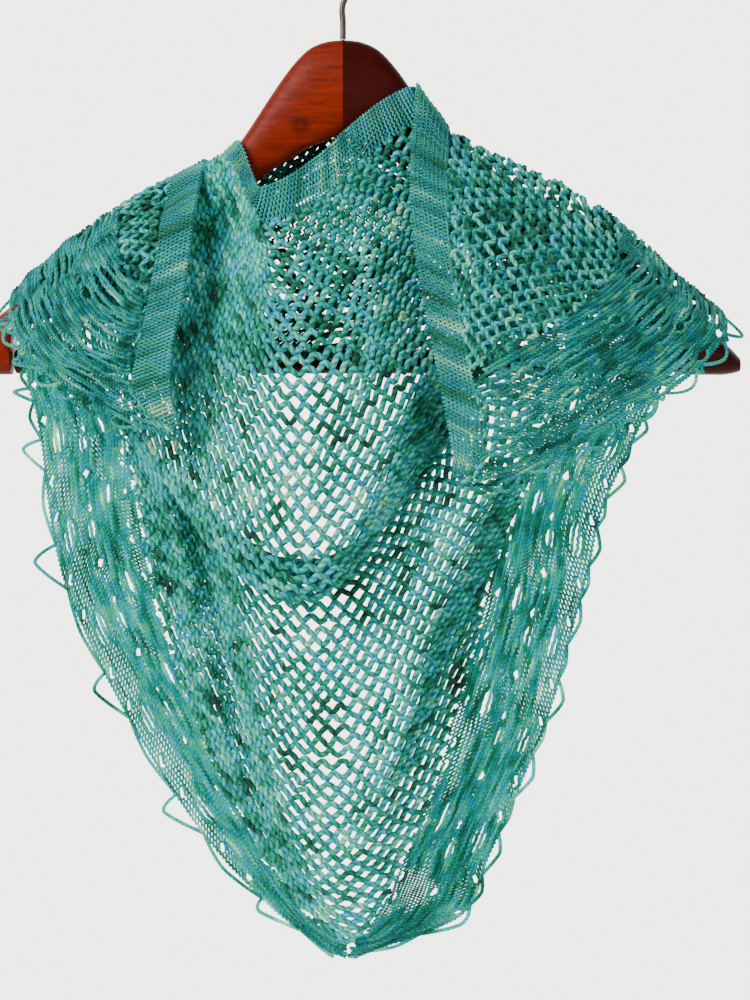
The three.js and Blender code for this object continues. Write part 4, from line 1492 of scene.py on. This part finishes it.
@dataclass
class WingKnitting:
    """A wing: band, a little net, and the leaf border that ends in the shawl's point."""

    knitter: Knitter
    wing: Wing
    pattern_start: float
    lean: float = 0.7
    ramp: float = 1.2
    loops: int = 7
    loop_depth: float = 12.0
    # the large loops start this far below the ridge and stop this far above the point, in rows
    loop_start: float = 0.4
    loop_stop: float = 1.3
    loop_seed: int = 31
    # where the net's first course lies, in mm, and how far it reaches under the border, as a share
    net_start: float = 20.0
    net_tuck: float = 0.01

    def build(self) -> None:
        """Knits the wing's pieces."""
        self.band()
        self.mesh()
        self.border()

    def band(self) -> None:
        """Knits the band along the shawl's long edge."""
        wing, knit = self.wing, Stockinette()
        self.knitter.finish_piece(f"{wing.name}_edge_band", edge_band(wing, knit), knit.yarn / 2,
                                  CLOSE_SIDES, Slot.BAND, [f"{wing.name}_band"], knit.row,
                                  [f"{wing.name}_leaf_border"], "draped")

    def mesh(self) -> None:
        """Knits the net between band and border."""
        wing, net = self.wing, NetMesh(pitch=9.2, height=7.0, yarn=2.75)

        def keep(u: Array, v: Array) -> Array:
            """The net lies between the band and the border."""
            return (u > wing.band_share(v)) & (u < wing.lace_share(v) + self.net_tuck)

        cloth = FabricMap(wing, False, lambda u: np.zeros_like(u))
        yarns = net.knit(cloth, keep, self.net_start, cloth.depth[-1])
        self.knitter.finish_piece(f"{wing.name}_net", yarns, net.yarn / 2, net.sides, Slot.MESH,
                                  [f"{wing.name}_mesh"], net.height, [f"{wing.name}_edge_band"], "draped")

    def border(self) -> None:
        """Knits the leaf border and the chain loops of its edge."""
        wing = self.wing
        knit = LeafBorder(row=2.15, stitch=2.55, yarn=1.95, zigzag=0.68, ground=0.9, opening=1.12)
        last = float(wing.rows)

        def line(place: Array, share: Array) -> tuple[Array, Array]:
            """Lines from the net to the edge, leaning towards square to it.

            Args:
                place: Where each line meets the edge, in rows.
                share: How far along it to go, from the net.

            Returns:
                u and v.
            """
            ease = np.clip(place / self.ramp, 0, 1) * np.clip((last - place) / self.ramp, 0, 1)
            inner = np.clip(place - self.lean * ease, 0, last)
            u = wing.lace_share(inner)
            return u + (1 - u) * share, inner + (place - inner) * share

        border = BorderMap(wing, line, 0.0, last)
        yarns = knit.knit(border, self.pattern_start)
        ChainLoops(yarn=3.3, point=1.8).crochet(
            lambda v, inside: wing.surface(np.full_like(v, 1 - inside), v),
            np.linspace(self.loop_start, last - self.loop_stop, self.loops), LOOP_FOOT, self.loop_depth,
            knit.yarn, yarns, self.loop_seed)
        arm = "hanger_arm_left" if wing.band_x < 0 else "hanger_arm_right"
        self.knitter.finish_piece(f"{wing.name}_leaf_border", yarns, knit.yarn / 2, CLOSE_SIDES, Slot.LACE,
                                  [f"{wing.name}_lace"], knit.row, [arm], "draped")


@dataclass
class BackKnitting:
    """A stretch behind the neck: band above, net, and a leaf border below."""

    knitter: Knitter
    back: BackStretch
    # where the net's first course lies, in mm, and its last one, as a share of the depth
    net_start: float = 16.0
    net_end: float = 0.8
    # where in the chart the border starts, in mm
    pattern_start: float = 30.0

    def build(self) -> None:
        """Knits the stretch's pieces."""
        self.band()
        self.mesh()
        self.border()

    def band(self) -> None:
        """Knits the band along the stretch's upper edge."""
        name, knit = self.back.name, Stockinette()
        self.knitter.finish_piece(f"{name}_edge_band", edge_band(self.back, knit), knit.yarn / 2,
                                  CLOSE_SIDES, Slot.BAND, [f"{name}_band"], knit.row, ARMS, "gathered")

    def mesh(self) -> None:
        """Knits the net between band and border."""
        back, net = self.back, NetMesh(pitch=6.6, height=4.3, yarn=3.3)
        cloth = FabricMap(back, False, lambda u: np.full_like(u, back.rows / 2))

        def keep(u: Array, v: Array) -> Array:
            """The net lies between the band and the border."""
            return (u > back.band_share(v)) & (u < back.lace_start)

        yarns = net.knit(cloth, keep, self.net_start, cloth.depth[-1] * self.net_end)
        self.knitter.finish_piece(f"{back.name}_net", yarns, net.yarn / 2, net.sides, Slot.MESH,
                                  [f"{back.name}_mesh"], net.height, ARMS, "gathered")

    def border(self) -> None:
        """Knits the leaf border along the stretch's lower edge."""
        back, knit = self.back, LeafBorder(row=2.8, stitch=3.2, yarn=2.75, zigzag=0.6, ground=1.0)

        def line(place: Array, share: Array) -> tuple[Array, Array]:
            """Lines from the net to the edge."""
            return back.lace_start + (1 - back.lace_start) * share + 0 * place, place + 0 * share

        yarns = knit.knit(BorderMap(back, line, 0.0, float(back.rows)), self.pattern_start)
        self.knitter.finish_piece(f"{back.name}_leaf_border", yarns, knit.yarn / 2, CLOSE_SIDES, Slot.LACE,
                                  [f"{back.name}_lace"], knit.row, ARMS, "gathered")


@dataclass
class Hanger:
    """The contoured wooden hanger with its trouser bar and wire hook."""

    wood: bpy.types.Material
    # a darker copy of the beech, painted shade, for the right arm and the trouser bar
    wood_painted_shade: bpy.types.Material
    wire: bpy.types.Material
    sides: int = 28
    per_section: int = 5
    squareness: float = 0.85
    bar_radius: float = 7.0
    bar_reach: float = 186.6
    bar_z: float = -251.5
    wire_radius: float = 1.75
    bow_radius: float = 18.0
    mitre_gap: float = 0.02
    # between these reaches, in mm, the arm's sections join in straight lines
    straight_from: float = 150.0
    straight_to: float = 215.0
    # how the bar's ends are rounded, as shares of its reach and of its radius
    bar_places: tuple = (-1, -0.998, -0.99, 0.99, 0.998, 1)
    bar_girths: tuple = (0.8, 0.95, 1, 1, 0.95, 0.8)
    # the hook's stem, to the side and above the arms, in mm, and the turn of its bow, in degrees
    stem: tuple = ((0, 0.3), (0, 10), (0, 20), (7, 32))
    bow_turn: tuple = (-20, 215)
    bow_points: int = 17
    wire_sides: int = 16

    def build(self) -> None:
        """Builds the hanger's four pieces."""
        # the right arm takes the darker copy of the beech: painted shade
        for side, label, finish in ((-1, "left", self.wood), (1, "right", self.wood_painted_shade)):
            self.arm(side, label, finish)
        self.bar()
        self.hook()
        LOG.info("hanger: two arms, a bar and a hook")

    def through(self, knots: Array) -> Array:
        """Smooth curve through knots, with a few places from each to the next."""
        last = len(knots) - 1
        return smooth_at(knots, np.linspace(0, last, last * self.per_section + 1))

    def declare(self, name: str, rings: Array, finish: bpy.types.Material, node: str) -> None:
        """Args:
            name: The piece's name.
            rings: Rings of points, in mm.
            finish: Its material.
            node: The CAD node that it stands for.
        """
        count, sides = rings.shape[:2]
        mesh = bpy.data.meshes.new(name)
        faces = [(k * sides + i, k * sides + (i + 1) % sides, (k + 1) * sides + (i + 1) % sides,
                  (k + 1) * sides + i) for k in range(count - 1) for i in range(sides)]
        faces += [tuple(range(sides))[::-1], tuple((count - 1) * sides + i for i in range(sides))]
        points = rings.reshape(-1, 3) * MM
        corners = [(points[f[0]], points[f[1]], points[f[2]]) for f in faces[:-2]]
        volume = sum(float(np.dot(a, np.cross(b, c))) for a, b, c in corners)
        if volume < 0:
            faces = [f[::-1] for f in faces]
        mesh.from_pydata(points.tolist(), [], faces)
        mesh.materials.append(finish)
        mesh.shade_smooth()
        mesh.set_sharp_from_angle(angle=SHARP_ANGLE)
        piece = bpy.data.objects.new(name, mesh)
        bpy.context.collection.objects.link(piece)
        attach(piece, "root")
        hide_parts(node)

    def arm(self, side: int, label: str, finish: bpy.types.Material) -> None:
        """Lofts one arm.

        Args:
            side: -1 at the left, 1 at the right.
            label: The side's name.
            finish: The wood.
        """
        table = np.array(ARM.sections, float)
        rows = self.through(table)
        steep = (rows[:, 0] > self.straight_from) & (rows[:, 0] < self.straight_to)
        for column in range(1, 5):
            straight = np.interp(rows[:, 0], table[:, 0], table[:, column])
            rows[:, column] = np.where(steep, straight, rows[:, column])
        rows[:, 0] = np.maximum(rows[:, 0], self.mitre_gap)
        angle = 2 * np.pi * np.arange(self.sides) / self.sides
        square = [np.sign(f) * np.abs(f) ** self.squareness for f in (np.cos(angle), np.sin(angle))]
        rings = np.stack([
            np.broadcast_to(side * rows[:, :1], (len(rows), self.sides)),
            rows[:, 3:4] + rows[:, 4:5] * square[0],
            (rows[:, 1:2] + rows[:, 2:3]) / 2 + (rows[:, 1:2] - rows[:, 2:3]) / 2 * square[1],
        ], axis=-1)
        self.declare(f"beech_arm_{label}", rings, finish, f"hanger_arm_{label}")

    def bar(self) -> None:
        """Turns the trouser bar, with softly rounded ends."""
        x = np.array(self.bar_places) * self.bar_reach
        radius = self.bar_radius * np.array(self.bar_girths)
        angle = 2 * np.pi * np.arange(self.sides) / self.sides
        y = ARM.column(3, np.array(self.bar_reach)) + radius[:, None] * np.cos(angle)
        z = self.bar_z + radius[:, None] * np.sin(angle)
        rings = np.stack([np.broadcast_to(x[:, None], y.shape), y, z], axis=-1)
        # the bar takes the darker copy of the beech: painted shade
        self.declare("beech_trouser_bar", rings, self.wood_painted_shade, "hanger_bar")

    def hook(self) -> None:
        """Bends the wire hook along the same path as its solid."""
        bow = self.bow_radius + self.wire_radius
        turns = np.radians(np.linspace(*self.bow_turn, self.bow_points))
        arc = np.stack([bow * np.cos(turns), turns * 0, -self.bow_radius + bow * np.sin(turns)], axis=1)
        head = ARM.sections[0][1]
        stem = np.array([[aside, 0, head + above] for aside, above in self.stem], float)
        line = self.through(np.concatenate([stem, arc]))
        forward = np.gradient(line, axis=0)
        forward /= np.linalg.norm(forward, axis=1, keepdims=True)
        sideways = np.array([0.0, 1.0, 0.0])
        up = np.cross(forward, sideways)
        angle = 2 * np.pi * np.arange(self.wire_sides) / self.wire_sides
        ring = np.cos(angle)[None, :, None] * sideways + np.sin(angle)[None, :, None] * up[:, None, :]
        self.declare("wire_hook", line[:, None, :] + self.wire_radius * ring, self.wire,
                     "hanger_hook")


@dataclass
class Studio:
    """A pale floor, a bright room and soft light from the left."""

    floor_z: float = -0.95
    floor_size: float = 2.4
    # the room is dim in front of the shawl and a bright wall lies behind it
    room_light: float = 0.36
    wall_light: float = 4.2
    # how far back the wall is at its brightest, as a share of the view straight back
    wall_turn: float = 0.55
    room_colour: str = "fffdf8"
    floor_colour: str = "f2efe9"
    floor_roughness: float = 0.9
    # soft square lights: name, place and side in metres, power in watts
    lamps: tuple = (
        ("window_left", (-1.3, -1.3, 0.7), 0.9, 130.0),
        ("fill_right", (1.2, -1.7, -0.3), 1.6, 40.0),
    )

    def build(self) -> None:
        """Makes the floor, the world, the lights and the camera."""
        half = self.floor_size / 2
        mesh = bpy.data.meshes.new("pale_floor")
        corners = [(-half, -half, self.floor_z), (half, -half, self.floor_z), (half, half, self.floor_z),
                   (-half, half, self.floor_z)]
        mesh.from_pydata(corners, [], [(0, 1, 2, 3)])
        finish = bpy.data.materials.new("pale_matt_floor")
        finish.use_nodes = True
        shader = finish.node_tree.nodes["Principled BSDF"]
        shader.inputs["Base Color"].default_value = linear(self.floor_colour)
        shader.inputs["Roughness"].default_value = self.floor_roughness
        mesh.materials.append(finish)
        floor = bpy.data.objects.new("pale_floor", mesh)
        bpy.context.collection.objects.link(floor)
        world = bpy.data.worlds.new("bright_room")
        bpy.context.scene.world = world
        world.use_nodes = True
        tree = world.node_tree
        background = tree.nodes["Background"]
        background.inputs[0].default_value = linear(self.room_colour)
        place = add_node(tree, "ShaderNodeTexCoord")
        parts = add_node(tree, "ShaderNodeSeparateXYZ", links={0: place.outputs["Generated"]})
        glow = add_node(tree, "ShaderNodeMapRange",
                        {1: 0.0, 2: self.wall_turn, 3: self.room_light, 4: self.wall_light},
                        {0: parts.outputs["Y"]})
        tree.links.new(glow.outputs[0], background.inputs[1])
        for lamp in self.lamps:
            self.lamp(*lamp)
        self.camera()

    def lamp(self, name: str, place: tuple, size: float, power: float) -> None:
        """Adds a square soft light that faces the shawl.

        Args:
            name: The light's name.
            place: Where it stands, in metres.
            size: Its side, in metres.
            power: Its power, in watts.
        """
        data = bpy.data.lights.new(name, "AREA")
        data.shape, data.size, data.energy = "SQUARE", size, power
        lamp = bpy.data.objects.new(name, data)
        lamp.location = place
        away = np.array(place) - np.array(VIEW_CENTRE)
        turn = math.atan2(away[0], -away[1])
        tilt = math.atan2(-away[2], math.hypot(away[0], away[1]))
        lamp.rotation_euler = (math.pi / 2 + tilt, 0.0, turn)
        bpy.context.collection.objects.link(lamp)

    def camera(self) -> None:
        """Adds the camera at the photograph's angle and framing."""
        data = bpy.data.cameras.new("photo_camera")
        data.sensor_width = SENSOR_MM
        data.lens = SENSOR_MM * CAMERA_DISTANCE / (PHOTO_HEIGHT_PX * MM_PER_PX * MM)
        camera = bpy.data.objects.new("photo_camera", data)
        camera.location = (VIEW_CENTRE[0], -CAMERA_DISTANCE, VIEW_CENTRE[2])
        camera.rotation_euler = (math.pi / 2, 0.0, 0.0)
        bpy.context.collection.objects.link(camera)
        bpy.context.scene.camera = camera


# dyes: the share of the run, and the colour there
BAND_DYES = (
    (0.0, "0f4f3f"), (0.2, "1a6e58"), (0.38, "17747c"), (0.52, "2f8a70"), (0.66, "1c8c98"),
    (0.82, "53a384"), (1.0, "7fbd9b"),
)
BORDER_DYES = (
    (0.0, "0c5546"), (0.25, "1c8069"), (0.4, "148d99"), (0.55, "3fae8c"), (0.7, "1ea5b8"),
    (0.85, "63c3a2"), (1.0, "93d8ba"),
)
# paler dyes for the borders that hang free: painted light from behind
PAINTED_BACKLIGHT_DYES = (
    (0.0, "1a7562"), (0.25, "2c9b80"), (0.4, "1fa6b2"), (0.55, "52c09d"), (0.7, "2fb7ca"),
    (0.85, "7bd3b3"), (1.0, "aee6cd"),
)
# darker dyes for the net and border behind the neck: painted shade
PAINTED_SHADE_DYES = ((0.0, "06251d"), (0.3, "0c4436"), (0.5, "0e4f52"), (0.75, "156a55"), (1.0, "1f7d70"))

BAND_YARN = SpaceDyedYarn("space_dyed_merino_band", dyes=BAND_DYES, dye_run=170.0)
NET_YARN = SpaceDyedYarn("space_dyed_merino_net", ply_length=9.0)
BORDER_YARN = SpaceDyedYarn("space_dyed_merino_border", dyes=BORDER_DYES, dye_run=40.0, glow=0.6)
# the borders that hang free let more light through them, and their paler dyes add painted light for the
# light from behind
PAINTED_BACKLIGHT_YARN = SpaceDyedYarn("space_dyed_merino_border_painted_backlight", dyes=PAINTED_BACKLIGHT_DYES, dye_run=40.0, glow=0.75)
# the stretches behind the neck lie in the hanger's shade: their band keeps the band's dyes, while their net
# and border take darker dyes as painted shade and let no light through
DEEP_BAND_YARN = SpaceDyedYarn("space_dyed_merino_deep_band", dyes=BAND_DYES, dye_run=170.0)
PAINTED_SHADE_NET_YARN = SpaceDyedYarn("space_dyed_merino_net_painted_shade", dyes=PAINTED_SHADE_DYES, ply_length=9.0, glow=0.0)
PAINTED_SHADE_BORDER_YARN = SpaceDyedYarn("space_dyed_merino_border_painted_shade", dyes=PAINTED_SHADE_DYES, glow=0.0)
# the right arm and the trouser bar take a much darker copy of the left arm's beech: painted shade
LEFT_WOOD = VarnishedBeech("varnished_beech_left", light="6a1802", dark="220401", tilt=-0.6)
RIGHT_WOOD_PAINTED_SHADE = VarnishedBeech("varnished_beech_painted_shade", light="2f0401", dark="140100", tilt=0.6)

WING_LEFT = Wing("wing_left", -77, -188, 0, (
    ((-80, -26, -172), (-184, -3, -232), 4), ((-85, -38, -217), (-168, -18, -256), 6),
    ((-91, -46, -250), (-144, -32, -272), 5), ((-91, -51, -276), (-118, -44, -287), 2),
    ((-86, -53, -291), (-94, -52, -296), 0),
))
WING_RIGHT = Wing("wing_right", 41, 216, 13, (
    ((37, -28, -146), (212, -2, -238), 6), ((38, -43, -188), (189, -24, -263), 9),
    ((44, -58, -229), (155, -42, -284), 8), ((52, -66, -269), (119, -57, -305), 5),
    ((58, -70, -303), (86, -67, -321), 2), ((59, -71, -318), (65, -71, -325), 0),
))
BACK_UPPER = BackStretch("back_upper", (-77, -188, OUTER, 0), (42, 196, INNER, 0), (
    ((-60, 26, -138), (-152, 44, -226)), ((-32, 22, -112), (-66, 34, -192)),
    ((0, 18, -98), (0, 22, -163.5)), ((21, 17, -100), (66, 22, -184)), ((36, 16, -109), (152, 35, -216)),
))
BACK_LOWER = BackStretch("back_lower", (-62, -184, INNER, 0), (41, 216, OUTER, 13), (
    ((-60, 17, -152), (-140, 35, -226)), ((-34, 17, -164), (-70, 20, -250)),
    ((0, 19, -166), (0, 15, -250)), ((35, 31, -158), (78, 37, -238)), ((44, 27, -119), (168, 49, -230)),
))


def main() -> None:
    """Builds the scene: camera and light first, then the hanger and the shawl."""
    logging.basicConfig(level=logging.INFO)
    Studio().build()
    Hanger(LEFT_WOOD.material(), RIGHT_WOOD_PAINTED_SHADE.material(), BlackenedWire().material()).build()
    laid = Knitter(YarnTree(), {
        Slot.BAND: BAND_YARN.material(), Slot.MESH: NET_YARN.material(), Slot.LACE: BORDER_YARN.material(),
    })
    # the front borders take the paler dyes, painted light from behind
    hung = Knitter(laid.tree, laid.finishes | {Slot.LACE: PAINTED_BACKLIGHT_YARN.material()})
    # the stretches behind the neck, with painted shade in their net's and border's colours
    shaded_back = Knitter(laid.tree, {
        Slot.BAND: DEEP_BAND_YARN.material(), Slot.MESH: PAINTED_SHADE_NET_YARN.material(),
        Slot.LACE: PAINTED_SHADE_BORDER_YARN.material(),
    })
    FrontKnitting(hung, FrontPanel()).build()
    for wing, pattern_start in ((WING_LEFT, 12.0), (WING_RIGHT, 30.0)):
        WingKnitting(laid, wing, pattern_start).build()
    for back in (BACK_UPPER, BACK_LOWER):
        BackKnitting(shaded_back, back).build()
    LOG.info("all the knitting: %d triangles", sum(knitter.triangles for knitter in (hung, laid, shaded_back)))


if __name__ == "__main__":
    main()
